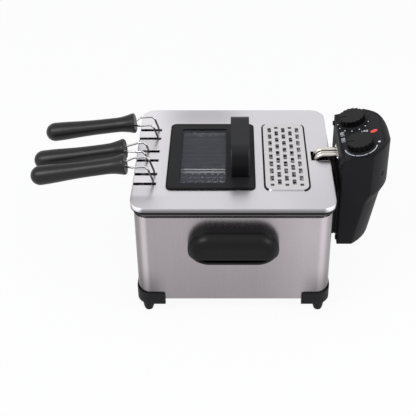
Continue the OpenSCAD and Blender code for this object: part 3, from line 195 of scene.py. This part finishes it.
def steel(name, colour, rough, stretch, edge, streak=0.05, cloud=0.06, shade=None):
    """Brushed sheet; stretch gives the direction of the brushing."""
    def build(place):
        grain = noise(place, 1, 3, stretch)
        blotch = noise(place, 14, 2)
        tone = 1 - cloud / 2 - streak / 2 + grain * streak + blotch * cloud
        # painted light and shade, by place and facing, from the shade function
        if shade:
            tone = tone * shade(place)
        return {
            "Base Color": grey(tone) * colour,
            "Metallic": 1.0,
            "Roughness": rough - 0.05 + grain * 0.06 + blotch * 0.05,
            "Normal": bumpy(grain, 0.10, 0.0002, edge),
        }
    return material(name, build)


def wall_shade(place):
    """Painted light and shade: bright bands where the wall turns the corner, a dark edge past them, a
    darker foot.
    """
    x, _, z = axes(place)
    turn = abs(normal(place)[0])
    # painted highlights: bright bands where the wall turns the corner
    painted_band_mask = turn.step(0.02, 0.22) * (1 - turn.step(0.34, 0.66))
    # painted shade: a darker foot
    foot = 0.84 + z.step(0.02, 0.17) * 0.17
    # painted light: the wall is painted brighter towards the head's end
    painted_end_light = 1 + x.step(0.03, 0.120) * 0.28
    # painted shade: the bottom corners are painted darker
    corner = abs(x).step(0.095, 0.125) * (1 - z.step(0.035, 0.095))
    # the painted bands are brighter on the grip's side
    glow = painted_band_mask * (0.60 - x.step(-0.05, 0.05) * 0.30)
    # painted shade: faces turned far aside are painted darker
    return (foot * painted_end_light * (1 + glow) * (1 - turn.step(0.45, 0.95) * 0.45)
            * (1 - corner * 0.50))


def lid_shade(place):
    """Painted light and shade: a bright top, and a folded skirt facing the bench, painted slate grey
    with a dark lower edge.
    """
    x, y, z = axes(place)
    aside, _, up = normal(place)
    turn = abs(aside)
    # painted highlights on the skirt: where it turns the corners, and along its upper part
    skirt = 0.30 + turn.step(0.10, 0.55) * (1 - turn.step(0.70, 0.95)) * 1.10
    skirt = skirt * (1 + z.step(SKIRT_Z + 0.0055, SKIRT_Z + 0.0075))
    # painted shadow: the skirt's lowest strip is painted nearly black, for the dark gap under it
    painted_gap_shadow = 0.01 + z.step(SKIRT_Z + 0.0016, SKIRT_Z + 0.0036) * 0.99
    # painted reflection: a darker pool painted towards the back of the top
    painted_dark_pool = y.step(0.060, 0.110) * (1 - abs(x + 0.045).step(0.015, 0.085))
    crown = up.step(0.25, 0.95)
    left = 1 - x.step(-0.140, -0.085)
    front = 1 - y.step(-0.120, -0.020)
    # painted reflections: lighter and darker patches painted on the top, on its left and its front
    # right
    top = 1 + left * (y.step(-0.106, -0.094) * 0.30 - 0.12) - x.step(0.050, 0.120) * front * 0.10
    return (skirt * painted_gap_shadow * (1 - crown) + crown * top) * (1 - painted_dark_pool * 0.26)


def round_shade(place):
    """Painted light and shade for round wire and tube: bright above, dark at the sides and below."""
    up = normal(place)[2]
    return 0.16 + up.step(-0.35, 0.75) * 0.9


def wire_shade(place):
    """Painted highlight for thin polished wire: a narrow bright line along its top, painted shade
    elsewhere.
    """
    up = normal(place)[2]
    return 0.10 + up.step(0.0, 0.95) * 0.90


def pot_shade(place):
    """Painted shade: round like wire, and painted dark along the rim, for the shade of the lid over
    it.
    """
    z = axes(place)[2]
    return round_shade(place) * (1 - z.step(RIM_Z, RIM_Z + 0.002) * 0.62)


def bright_metal(name, colour, rough, shade=None):
    """Smooth metal with a faint film, for wire, tube and screws."""
    def build(place):
        film = noise(place, 60, 3)
        wave = noise(place, 250, 1)
        tone = 0.92 + film * 0.12
        # painted light and shade, by place and facing, from the shade function
        if shade:
            tone = tone * shade(place)
        return {
            "Base Color": grey(tone) * colour,
            "Metallic": 1.0,
            "Roughness": rough + film * 0.06,
            "Normal": bumpy(wave, 0.02, 0.0002, 0.0004),
        }
    return material(name, build)


def basket_wire(name):
    """Tinned wire with painted glints: on the front half, nearest the light, bright spots are painted
    in, dark between.
    """
    spots = 640

    def build(place):
        x, y, z = axes(place)
        rows, cols = (x + y * 0.6) * spots, (z + y * 0.6) * spots
        front = 1 - y.step(-0.002, 0.004)
        # painted glints: bright spots on the front half, an even mid tone on the back half
        glint = 0.5 + ((rows.sine() * cols.sine()).step(0.0, 0.6) - 0.5) * front
        return {
            "Base Color": glint.between((0.10, 0.10, 0.11), (1.0, 1.0, 1.0)),
            "Metallic": 1 - glint * front,
            "Roughness": 0.22 + glint * 0.06,
            "Normal": bumpy(noise(place, 250, 1), 0.02, 0.0002, 0.0004),
        }
    return material(name, build)

print("steel finishes ready")

# %% [markdown]
# Moulded plastic has a fine pebbled grain, a sheen that changes gently from place to place, and only
# a weak mirror: its specular level is set low, so that black stays black under a white sky.

# %% Plastic finishes
PANEL_TILT = math.radians(14)


def plastic(name, colour, rough, pebbles=1500, grain=0.20, edge=0.0020, coat=0.0, mirror=0.10,
            top=1.0, shade=None):
    """Moulded plastic: pebbles is the grain's fineness; top paints the faces that look up lighter, as
    painted light.
    """
    def build(place):
        pebble = noise(place, pebbles, 2)
        sheen = noise(place, 22, 3)
        tone = 0.85 + sheen * 0.3
        # painted light: faces that look up are painted lighter by top
        if top != 1.0:
            tone = tone * (1 + normal(place)[2].step(0.5, 0.95) * (top - 1))
        # painted light and shade from the shade function
        if shade:
            tone = tone * shade(place)
        return {
            "Base Color": grey(tone) * colour,
            "Roughness": rough - 0.04 + sheen * 0.08,
            "Specular IOR Level": mirror,
            "Coat Weight": coat,
            "Coat Roughness": 0.12,
            "Normal": bumpy(pebble, grain, 0.0001, edge),
        }
    return material(name, build)


def middle_and_half(node):
    """The middle of a solid's box and half its size, along each axis."""
    low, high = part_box(node)
    return [(a + b) / 2 for a, b in zip(low, high)], [(b - a) / 2 for a, b in zip(low, high)]


def bezel_shade(place):
    """Painted shade: the window frame's outer rim is rolled down, and painted darker than its face."""
    x, y, _ = axes(place)
    middle, half = middle_and_half("window_bezel")
    across = abs(x - middle[0]).step(half[0] - 0.0030, half[0] - 0.0018)
    along = abs(y - middle[1]).step(half[1] - 0.0040, half[1] - 0.0026)
    # painted shade: the outer rim is painted dark
    return 0.12 + (1 - across) * (1 - along) * 0.88


def knob_shade(node):
    """Painted light and shade: ridges round a knob are painted light, the flutes between them painted
    dark.
    """
    middle, half = middle_and_half(node)
    radius = half[1]

    def shade(place):
        x, y, z = axes(place)
        across = (x - middle[0]) * math.cos(PANEL_TILT) + (z - middle[2]) * math.sin(PANEL_TILT)
        along = y - middle[1]
        reach = (across * across + along * along).root()
        side = 1 - normal(place)[2].step(0.75, 0.92)
        painted_ridge_light = reach.step(radius - 0.0013, radius - 0.0002)
        # painted light on the ridges and painted shade in the flutes of the knob's sides
        return 1 + side * (painted_ridge_light * 2.1 - 0.8)
    return shade


def arch_shade(place):
    """Painted shade and highlights: the front leg of the lid's handle is painted dark, with a pale
    line along each edge.
    """
    x, y, _ = axes(place)
    middle, half = middle_and_half("lid_handle")
    front_end = middle[1] - half[1]
    edge = abs(x - middle[0]).step(half[0] - 0.0026, half[0] - 0.0010)
    # painted shade on the front leg, with a painted highlight along each edge
    front = 1 - y.step(front_end + 0.004, front_end + 0.018)
    return 1 + front * (edge * 2.6 - 0.4)

print("plastic finishes ready")

# %% [markdown]
# The filter's gauze, the tinted window and the lamp's lens each have a finish of their own.

# %% Gauze, glass and lens
def filter_gauze(name):
    """Crossing wires of a grease filter, drawn in the plane of the lid."""
    crossings = 3900

    def build(place):
        x, y, _ = axes(place)
        weave = (x * crossings).sine() * (y * crossings).sine()
        wire = weave.step(-0.35, 0.35)
        return {
            "Base Color": wire.between((0.30, 0.30, 0.30), (0.95, 0.95, 0.96)),
            "Metallic": 0.2,
            "Roughness": 0.42 - wire * 0.15,
            "Normal": bumpy(weave, 0.5, 0.0004),
        }
    return material(name, build)


def tinted_glass(name):
    """Smoky glass: mostly see-through, with a bluish haze."""
    def build(place):
        haze = noise(place, 30, 3)
        return {
            "Base Color": haze.between((0.036, 0.040, 0.066), (0.050, 0.057, 0.088)),
            "Roughness": 0.03 + haze * 0.05,
            "Alpha": 0.26,
            "IOR": 1.5,
            "Specular IOR Level": 0.9,
            "Normal": bumpy(haze, 0.02, 0.0005),
        }
    return material(name, build)


def lens_red(name):
    """Clear red plastic with a faint glow."""
    def build(place):
        swirl = noise(place, 200, 2)
        return {
            "Base Color": swirl.between((0.62, 0.012, 0.010), (0.85, 0.03, 0.02)),
            "Roughness": 0.22 + swirl * 0.1,
            "Coat Weight": 0.5,
            "Emission Color": swirl.between((0.5, 0.01, 0.01), (0.7, 0.02, 0.015)),
            "Emission Strength": 0.15,
            "Normal": bumpy(swirl, 0.05, 0.0002, 0.0008),
        }
    return material(name, build)

print("gauze, glass and lens ready")

# %% [markdown]
# One dictionary holds every finish, so a solid or a new piece names the one it wears.

# %% The finishes of this fryer
def knob_grip(name, node):
    return plastic(name, (0.014, 0.014, 0.015), 0.42, grain=0.12, edge=0.0005, shade=knob_shade(node))


# In FINISH, top paints the faces that look up lighter and each shade function paints light and shade.
FINISH = {
    "body": steel("body_steel", (0.375, 0.345, 0.360), 0.27, (420, 420, 5), edge=0.001,
                  streak=0.10, cloud=0.10, shade=wall_shade),
    "lid": steel("lid_steel", (0.66, 0.645, 0.68), 0.30, (6, 500, 500), edge=0.0022,
                 cloud=0.05, shade=lid_shade),
    "vent": steel("vent_steel", (0.64, 0.625, 0.64), 0.28, (6, 500, 500), edge=0.0006),
    "bright": steel("pot_steel", (0.58, 0.57, 0.58), 0.24, (6, 300, 300), edge=0.0006,
                    shade=pot_shade),
    "frame": bright_metal("frame_wire", (0.92, 0.92, 0.93), 0.24),
    "plain": steel("plain_steel", (0.50, 0.50, 0.51), 0.38, (120, 120, 120), edge=0.0004),
    "chrome": bright_metal("chrome_wire", (0.72, 0.71, 0.71), 0.12, shade=wire_shade),
    "tinned": basket_wire("tinned_wire_painted_glints"),
    "nickel": bright_metal("nickel_tube", (0.66, 0.62, 0.575), 0.16, shade=round_shade),
    "screw": bright_metal("screw_plate", (0.60, 0.60, 0.61), 0.20),
    "brass": bright_metal("turned_brass", (0.62, 0.46, 0.20), 0.25),
    "grip": plastic("grip_gloss", (0.006, 0.006, 0.007), 0.37, pebbles=1200, grain=0.04,
                    edge=0.0008, coat=0.03, mirror=0.31),
    "head": plastic("head_grain", (0.0092, 0.0092, 0.0108), 0.50, edge=0.0050),
    "black": plastic("black_grain", (0.012, 0.012, 0.013), 0.50),
    "satin": plastic("handle_satin", (0.0036, 0.0036, 0.0040), 0.34, pebbles=1200, grain=0.06,
                     edge=0.0030, mirror=0.17, top=2),
    "arch": plastic("lid_handle_satin", (0.008, 0.008, 0.009), 0.40, pebbles=1200, grain=0.06,
                    edge=0.0030, top=2.8, shade=arch_shade),
    "bezel": plastic("bezel_satin", (0.004, 0.004, 0.0045), 0.46, pebbles=1400, grain=0.12,
                     edge=0.0014, top=3.9, shade=bezel_shade),
    "panel": plastic("panel_grain", (0.016, 0.016, 0.018), 0.48, edge=0.0008),
    "timer_knob": knob_grip("timer_knob_grain_painted_ridges", "timer_knob"),
    "thermostat_knob": knob_grip("thermostat_knob_grain_painted_ridges", "thermostat_knob"),
    "rubber": plastic("soft_rubber", (0.010, 0.010, 0.010), 0.75, pebbles=1100, grain=0.3,
                      edge=0.0006),
    "cream": plastic("cream_moulding", (0.62, 0.57, 0.46), 0.55, pebbles=900, grain=0.15,
                     edge=0.0008),
    "red": plastic("red_moulding", (0.55, 0.03, 0.02), 0.40, pebbles=900, grain=0.12, edge=0.0006),
    "marks": plastic("pale_marks", (0.84, 0.88, 0.93), 0.55, grain=0.05, edge=0.0),
    # painted shade: the dark strips beside the vent
    "seam": plastic("vent_seam", (0.010, 0.010, 0.012), 0.55, grain=0.1, edge=0.0004),
    "lamp": lens_red("lamp_red"),
    "glass": tinted_glass("window_tint"),
    "gauze": filter_gauze("filter_gauze"),
}
print(len(FINISH), "finishes made")

# %% [markdown]
# ## 5. Dress the solids
# Each solid keeps its own mesh and only gets a finish. The first word below that is part of the
# solid's name picks it.

# %% Dress the solids
DRESS = [
    ("housing_shell", "body"), ("lid_shell", "lid"), ("vent_panel", "vent"), ("oil_pot", "bright"),
    ("base_plate", "plain"), ("tube_clamp", "plain"), ("element_clip", "plain"),
    ("filter_mesh", "gauze"), ("filter_frame", "plain"), ("_wires", "chrome"),
    ("basket_frame", "frame"), ("basket_mesh", "tinned"), ("basket_grip", "grip"),
    ("carry_handle_screws", "screw"), ("lid_handle_screws", "screw"), ("head_screws", "black"),
    ("_screws", "screw"), ("carry_handle", "satin"), ("lid_handle", "arch"),
    ("window_bezel", "bezel"), ("window_glass", "glass"), ("window_gasket", "rubber"),
    ("foot_pads", "rubber"), ("lid_seal", "rubber"), ("control_panel", "panel"),
    ("timer_knob", "timer_knob"), ("thermostat_knob", "thermostat_knob"), ("_shaft", "brass"),
    ("inlet_contacts", "brass"), ("heating_element", "nickel"), ("sensor_bulb", "nickel"),
    ("lamp_lens", "lamp"), ("lamp_holder", "cream"), ("reset_button", "black"),
    ("plunger", "red"), ("terminal_block", "cream"), ("thermal_cutout", "cream"),
    ("interlock_switch", "cream"), ("thermostat", "cream"), ("timer", "plain"),
    ("foot_", "black"), ("head_shell", "head"), ("head_", "black"), ("cord_inlet", "black"),
]


def finish_of(node):
    return next(FINISH[key] for word, key in DRESS if word in node)


for node, solid in NODES.items():
    solid.data.materials.clear()
    solid.data.materials.append(finish_of(node))
print("dressed", len(NODES), "solids")

# %% [markdown]
# ## 6. Tools for new pieces
# `put` gives a mesh its finish and lets it ride on a body. `add_piece` makes that mesh from lists of
# points and faces. `wires` makes many round wires as one mesh: a ring of corners is carried along
# each wire's points.

# %% Tools for new pieces
def put(name, mesh, finish, body):
    mesh.materials.clear()
    mesh.materials.append(FINISH[finish])
    piece = bpy.data.objects.new(name, mesh)
    bpy.context.collection.objects.link(piece)
    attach(piece, body)
    return piece


def add_piece(name, points, faces, finish, body, smooth=40):
    """A piece from points and faces; edges sharper than `smooth` degrees stay sharp."""
    mesh = bpy.data.meshes.new(name)
    mesh.from_pydata([tuple(p) for p in points], [], faces)
    mesh.update()
    mesh.shade_smooth()
    mesh.set_sharp_from_angle(angle=math.radians(smooth))
    return put(name, mesh, finish, body)


def unit(rows):
    """Each row scaled to length 1."""
    return rows / np.linalg.norm(rows, axis=1)[:, None]


def wires(paths, radius, sides=5, closed=False):
    """Points and faces of one round wire along each path of points."""
    points, faces = [], []
    for path in paths:
        path = np.asarray(path, float)
        ahead = np.roll(path, -1, 0) - path
        behind = path - np.roll(path, 1, 0)
        if not closed:
            ahead[-1], behind[0] = behind[-1], ahead[0]
        along = unit(unit(ahead) + unit(behind))
        up = np.cross(along[0], (0.31, 0.52, 0.79))
        start = len(points)
        for p, t in zip(path, along):
            up = up - t * np.dot(up, t)
            up /= np.linalg.norm(up)
            side = np.cross(t, up)
            for k in range(sides):
                a = 2 * math.pi * k / sides
                points.append(p + radius * (math.cos(a) * up + math.sin(a) * side))
        count = len(path)
        for i in range(count if closed else count - 1):
            a, b = start + i * sides, start + (i + 1) % count * sides
            for k in range(sides):
                m = (k + 1) % sides
                faces.append((a + k, a + m, b + m, b + k))
        if not closed:
            faces.append(tuple(start + k for k in reversed(range(sides))))
            faces.append(tuple(start + (count - 1) * sides + k for k in range(sides)))
    return points, faces


def around(middle, radius, degrees):
    """The point at that angle on a circle."""
    a = math.radians(degrees)
    return middle[0] + radius * math.cos(a), middle[1] + radius * math.sin(a)


def round_loop(x0, x1, y0, y1, r, steps=6):
    """Points round a rounded rectangle, anticlockwise."""
    corners = ((x1 - r, y1 - r), (x0 + r, y1 - r), (x0 + r, y0 + r), (x1 - r, y0 + r))
    return [around(corner, r, 90 * quarter + 90 * k / steps)
            for quarter, corner in enumerate(corners) for k in range(steps + 1)]

print("piece tools ready")

# %% [markdown]
# ## 7. Woven baskets
# The CAD's basket walls are slotted panels. Here they are real wire cloth: hoops round the basket and
# uprights down the walls, each passing the next in turn on the inside and the outside, over a floor of
# crossing wires.

# %% Woven baskets
MESH_PITCH = 0.0078
MESH_WIRE = 0.00062
WEAVE = 0.0005
BASKET_CORNER = 0.013
FLOOR_GAPS = (0.003, 0.002)


def along_loop(ring, spacing):
    """Even points along a closed outline, with the outward direction at each."""
    ring = np.asarray(ring + ring[:1], float)
    lengths = np.linalg.norm(np.diff(ring, axis=0), axis=1)
    total = lengths.sum()
    count = 2 * int(round(total / spacing / 2))
    reach = np.concatenate([[0], np.cumsum(lengths)])
    spots = np.linspace(0, total, count, endpoint=False)
    pts = np.c_[np.interp(spots, reach, ring[:, 0]), np.interp(spots, reach, ring[:, 1])]
    step = unit(np.roll(pts, -1, 0) - np.roll(pts, 1, 0))
    return pts, np.c_[step[:, 1], -step[:, 0]]


def woven_basket(basket):
    node = f"{basket}_mesh"
    (x0, y0, z0), (x1, y1, z1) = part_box(node)
    edge = MESH_WIRE + WEAVE + 0.0001
    x0, x1, y0, y1 = x0 + edge, x1 - edge, y0 + edge, y1 - edge
    z0, z1 = z0 + edge, z1 - MESH_WIRE
    ring, out = along_loop(round_loop(x0, x1, y0, y1, BASKET_CORNER), MESH_PITCH)
    levels = np.arange(z0 + MESH_PITCH, z1, MESH_PITCH)
    sign = np.where(np.arange(len(ring)) % 2, 1, -1)[:, None]
    hoops = [np.c_[ring + out * WEAVE * sign * (-1) ** k, np.full(len(ring), z)]
             for k, z in enumerate(levels)]
    ups = []
    for i, (p, n) in enumerate(zip(ring, out)):
        wave = WEAVE * (-1) ** i
        wall = [(*(p - n * wave * (-1) ** k), z) for k, z in enumerate(levels)]
        ups.append([(*p, z0)] + wall + [(*p, z1)])
    floor = []
    for axis, (a0, a1, b0, b1) in enumerate(((x0, x1, y0, y1), (y0, y1, x0, x1))):
        for j, b in enumerate(np.arange(b0 + MESH_PITCH, b1 - MESH_PITCH / 2, MESH_PITCH)):
            run = np.arange(a0 + FLOOR_GAPS[0], a1 - FLOOR_GAPS[1], MESH_PITCH)
            lift = z0 + WEAVE * np.array([(-1) ** (i + j + axis) for i in range(len(run))])
            line = np.c_[run, np.full(len(run), b), lift]
            floor.append(line if axis == 0 else line[:, [1, 0, 2]])
    pts, faces = wires(hoops, MESH_WIRE, closed=True)
    more, more_faces = wires(ups + floor, MESH_WIRE, 4)
    faces += [tuple(len(pts) + i for i in f) for f in more_faces]
    piece = add_piece(f"{basket}_woven", pts + more, faces, "tinned", basket,
                      80)
    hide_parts(node)
    return piece


for basket in ("large_basket", "left_basket", "right_basket"):
    woven = woven_basket(basket)
    print(woven.name, len(woven.data.vertices), "points")

# %% [markdown]
# ## 8. Dial marks
# The panel is tilted, so marks are drawn flat in its own axes (u up its slope, v along +Y) and then
# laid on it. They stand about a tenth of a millimetre proud, like screen print.

# %% Dial marks
PANEL_U = Vector((math.cos(PANEL_TILT), 0, math.sin(PANEL_TILT)))
PANEL_N = Vector((-math.sin(PANEL_TILT), 0, math.cos(PANEL_TILT)))
PRINT = 0.00012
ARC_LINE = (0.0232, 0.0245)
ARC_SHIFT = 0.002
ARC_SPANS = ((-174, -118), (-115, -72), (-69, -14))
TIMER_RING = 0.0236
OFF_SPOT = 0.0275


def knob_foot(dial):
    """Where a knob's axis meets the panel."""
    joint = next(j for j in frame["record"]["behaviour"]["joints"] if j["child"] == dial)
    return Vector(joint["pos_m"])


def on_panel(centre, u, v, lift=0.0):
    return centre + PANEL_U * u + Vector((0, v, 0)) + PANEL_N * lift


def flat_marks(name, centre, shapes):
    """Thin raised marks; each shape is a closed outline of (u, v) points, anticlockwise."""
    points, faces = [], []
    for shape in shapes:
        n, start = len(shape), len(points)
        points += [on_panel(centre, u, v, PRINT) for u, v in shape]
        points += [on_panel(centre, u, v, -PRINT) for u, v in shape]
        faces.append(tuple(range(start, start + n)))
        for i in range(n):
            k = (i + 1) % n
            faces.append((start + i, start + n + i, start + n + k, start + k))
    return add_piece(name, points, faces, "marks", "head")


def dot(angle, reach, radius, sides=14):
    """A round spot, that far from the knob's axis."""
    middle = around((0, 0), reach, angle)
    return [around(middle, radius, 360 * k / sides) for k in range(sides)]


def arc(a0, a1, line, steps=16):
    """A curved stroke between two angles; line holds its inner and outer radius."""
    turn = [a0 + (a1 - a0) * k / steps for k in range(steps + 1)]
    return ([around((0, 0), line[1], a) for a in turn]
            + [around((0, 0), line[0], a) for a in reversed(turn)])


timer_foot, thermostat_foot = knob_foot("timer_dial"), knob_foot("thermostat_dial")
flat_marks("timer_marks", timer_foot, [dot(a, TIMER_RING, 0.0010) for a in range(176, 345, 28)])
flat_marks("thermostat_marks", on_panel(thermostat_foot, 0, ARC_SHIFT),
           [arc(a, b, ARC_LINE) for a, b in ARC_SPANS] + [dot(4, OFF_SPOT, 0.0020)])
print("dial marks at", [tuple(round(v, 4) for v in foot) for foot in (timer_foot, thermostat_foot)])

# %% [markdown]
# Numbers come from Blender's own font. The text curve becomes a mesh, which is then laid on the panel.

# %% Numbers
def number(text, u, v, size, turn):
    """A number beside the thermostat's knob, turned by that many degrees."""
    name = "number_" + text
    curve = bpy.data.curves.new(name, "FONT")
    curve.body, curve.size, curve.extrude = text, size, PRINT
    curve.align_x, curve.align_y = "CENTER", "CENTER"
    curve.resolution_u = 3
    words = bpy.data.objects.new(name + "_curve", curve)
    bpy.context.collection.objects.link(words)
    graph = bpy.context.evaluated_depsgraph_get()
    mesh = bpy.data.meshes.new_from_object(words.evaluated_get(graph))
    bpy.data.objects.remove(words)
    c, s = math.cos(math.radians(turn)), math.sin(math.radians(turn))
    for corner in mesh.vertices:
        a, b, h = corner.co
        corner.co = on_panel(thermostat_foot, u + a * c - b * s, v + a * s + b * c, h)
    put(name, mesh, "marks", "head")


number("150", -0.0236, 0.0250, 0.0080, 90)
number("170", -0.0236, 0.0410, 0.0080, 90)
number("190", 0.0094, 0.0372, 0.0074, 0)
print("numbers on the panel")

# %% [markdown]
# ## 9. Painted shade strips and small fittings
# The vent panel is pressed up out of the lid, and its long sides show as dark lines of shade: a thin
# dark strip of painted shade runs along each side and a little way round the corners. The heater tubes
# enter the head through a small flange with two screws.

# %% Painted shade strips
VENT_CORNER = 0.011
SHADE_STRIP = 0.0026
SHADE_STRIP_BELOW, SHADE_STRIP_ABOVE = 0.0002, 0.0009
CORNER_STEPS = 10
# The outline has eleven points to a corner, from the far corner on the head's side to the near one.
GRIP_SIDE = range(15, 29)
HEAD_SIDE = (*range(35, 44), *range(6))


def ribbon(path, width, z0, z1):
    """A strip of that width along a flat path, with square edges."""
    path = np.asarray(path, float)
    step = unit(np.gradient(path, axis=0))
    side = np.c_[-step[:, 1], step[:, 0]] * width / 2
    points, faces = [], []
    for p, s in zip(path, side):
        points += [(*(p - s), z0), (*(p + s), z0), (*(p + s), z1), (*(p - s), z1)]
    for i in range(len(path) - 1):
        a, b = 4 * i, 4 * i + 4
        faces += [(a + k, a + (k + 1) % 4, b + (k + 1) % 4, b + k) for k in range(4)]
    last = 4 * (len(path) - 1)
    faces += [(3, 2, 1, 0), (last, last + 1, last + 2, last + 3)]
    return points, faces


(vx0, vy0, vz0), (vx1, vy1, _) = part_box("vent_panel")
out = SHADE_STRIP / 2
loop = round_loop(vx0 - out, vx1 + out, vy0 - out, vy1 + out, VENT_CORNER + out, CORNER_STEPS)
# painted shade: a dark strip along each long side of the vent, where the pressed panel's side lies in
# shade
for name, part in (("vent_seam_grip_side", GRIP_SIDE), ("vent_seam_head_side", HEAD_SIDE)):
    pts, faces = ribbon([loop[i] for i in part], SHADE_STRIP, vz0 - SHADE_STRIP_BELOW, vz0 + SHADE_STRIP_ABOVE)
    add_piece(name, pts, faces, "seam", "lid")
print("seams laid")

# %% [markdown]
# The flange is an oval plate. Each of its screws has a domed crown, rings that rise towards the
# middle, with a cross sunk into it.

# %% Small fittings
TUBE_RADIUS = 0.0034
TUBE_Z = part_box("heating_element")[1][2] - TUBE_RADIUS
FLANGE_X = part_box("head_shell")[0][0]
FLANGE_THICK = 0.0010
FLANGE_RADIUS = 0.0058
FLANGE_REACH = 0.0125
SCREW_REACH = 0.0150
SCREW_RADIUS = 0.0022
SCREW_CORNERS = 24
CROWN = ((1.0, 0.0), (1.0, 0.25), (0.9, 0.45), (0.62, 0.6), (0.3, 0.66))


def flange(name, x, y0, y1, z, half):
    """An oval plate standing upright across X."""
    outline = [around((y, z), half, start + 15 * k)
               for y, start in ((y1, -90), (y0, 90)) for k in range(13)]
    n = len(outline)
    points = [(x, y, h) for y, h in outline] + [(x - FLANGE_THICK, y, h) for y, h in outline]
    faces = [tuple(range(n)), tuple(reversed(range(n, 2 * n)))]
    faces += [(i, i + n, (i + 1) % n + n, (i + 1) % n) for i in range(n)]
    return add_piece(name, points, faces, "screw", "head")


def pan_screw(name, at, r):
    """A pan head with a cross cut into it, facing -X."""
    at, out = Vector(at), Vector((-1, 0, 0))
    side = out.orthogonal().normalized()
    up = out.cross(side)
    n = SCREW_CORNERS
    mesh = bmesh.new()

    def ring(reach, heights):
        turns = (2 * math.pi * k / n for k in range(n))
        return [mesh.verts.new(at + out * h * r + reach * r * (side * math.cos(a) + up * math.sin(a)))
                for a, h in zip(turns, heights)]

    def skirt(outer, inner):
        for k in range(n):
            mesh.faces.new((outer[k], outer[(k + 1) % n], inner[(k + 1) % n], inner[k]))

    rings = [ring(reach, [height] * n) for reach, height in CROWN]
    for outer, inner in zip(rings, rings[1:]):
        skirt(outer, inner)
    centre = mesh.verts.new(at + out * 0.2 * r)
    cross = ring(0.22, [0.25 if k % 6 in (5, 0, 1) else 0.6 for k in range(n)])
    skirt(rings[-1], cross)
    for k in range(n):
        mesh.faces.new((cross[k], cross[(k + 1) % n], centre))
    data = bpy.data.meshes.new(name)
    mesh.to_mesh(data)
    mesh.free()
    data.shade_smooth()
    data.set_sharp_from_angle(angle=math.radians(35))
    put(name, data, "screw", "head")


flange("tube_flange", FLANGE_X, -FLANGE_REACH, FLANGE_REACH, TUBE_Z, FLANGE_RADIUS)
for k, y in enumerate((-SCREW_REACH, SCREW_REACH)):
    pan_screw(f"flange_screw_{k + 1}", (FLANGE_X - FLANGE_THICK, y, TUBE_Z), SCREW_RADIUS)
print("fittings added")

# %% [markdown]
# ## 10. Studio
# The floor and the world are white to the camera and to reflections, while the light that falls on
# the fryer is plain and soft: one large lamp high on the left and a weaker one on the right.

# %% Studio
FLOOR_REACH = 6
WHITE = (1, 1, 1, 1)


def ray_kinds(tree):
    """Signals that are 1 for rays from the camera, off glossy faces and through glass."""
    outs = Signal(tree).make("ShaderNodeLightPath").socket.node.outputs
    return [Signal(tree, outs[f"Is {kind} Ray"]) for kind in ("Camera", "Glossy", "Transmission")]


def studio_floor():
    r = FLOOR_REACH
    mesh = bpy.data.meshes.new("floor")
    mesh.from_pydata([(-r, -r, 0), (r, -r, 0), (r, r, 0), (-r, r, 0)], [], [(0, 1, 2, 3)])
    floor = bpy.data.objects.new("floor", mesh)
    bpy.context.collection.objects.link(floor)
    mat = bpy.data.materials.new("floor_white")
    mat.use_nodes = True
    tree = mat.node_tree
    shader = tree.nodes["Principled BSDF"]
    shader.inputs["Base Color"].default_value = (0.86, 0.86, 0.87, 1)
    shader.inputs["Roughness"].default_value = 0.8
    seen, gloss, through = ray_kinds(tree)
    white = seen.make("ShaderNodeEmission", None, {"Color": WHITE, "Strength": 1.0})
    mix = seen.make("ShaderNodeMixShader", None,
                    {0: seen * 0.92 + gloss * 0.85 + through * 0.85,
                     1: Signal(tree, shader.outputs[0]), 2: white})
    tree.links.new(mix.socket, tree.nodes["Material Output"].inputs["Surface"])
    mesh.materials.append(mat)


def studio_world():
    world = bpy.data.worlds.new("studio")
    bpy.context.scene.world = world
    world.use_nodes = True
    tree = world.node_tree
    light = tree.nodes["Background"]
    light.inputs["Color"].default_value = (0.95, 0.97, 1.0, 1)
    light.inputs["Strength"].default_value = 0.60
    seen, gloss, through = ray_kinds(tree)
    white = seen.make("ShaderNodeBackground", None, {"Color": WHITE, "Strength": 1.0})
    mix = seen.make("ShaderNodeMixShader", None,
                    {0: seen + gloss + through, 1: Signal(tree, light.outputs[0]), 2: white})
    tree.links.new(mix.socket, tree.nodes["World Output"].inputs["Surface"])


def soft_lamp(name, place, size, watts, aim=(0, 0, 0.12)):
    lamp = bpy.data.lights.new(name, "AREA")
    lamp.shape, lamp.size, lamp.energy = "DISK", size, watts
    holder = bpy.data.objects.new(name, lamp)
    bpy.context.collection.objects.link(holder)
    holder.location = place
    holder.rotation_euler = (Vector(aim) - Vector(place)).to_track_quat("-Z", "Y").to_euler()


studio_floor()
studio_world()
soft_lamp("lamp_key", (-1.3, -1.2, 2.0), 1.2, 26)
soft_lamp("lamp_fill", (1.6, -0.9, 1.3), 1.0, 13)
bpy.context.scene.view_settings.view_transform = "Standard"
print("studio ready")

# %% [markdown]
# ## 11. Finish

# %% Finish
print("scene ready")
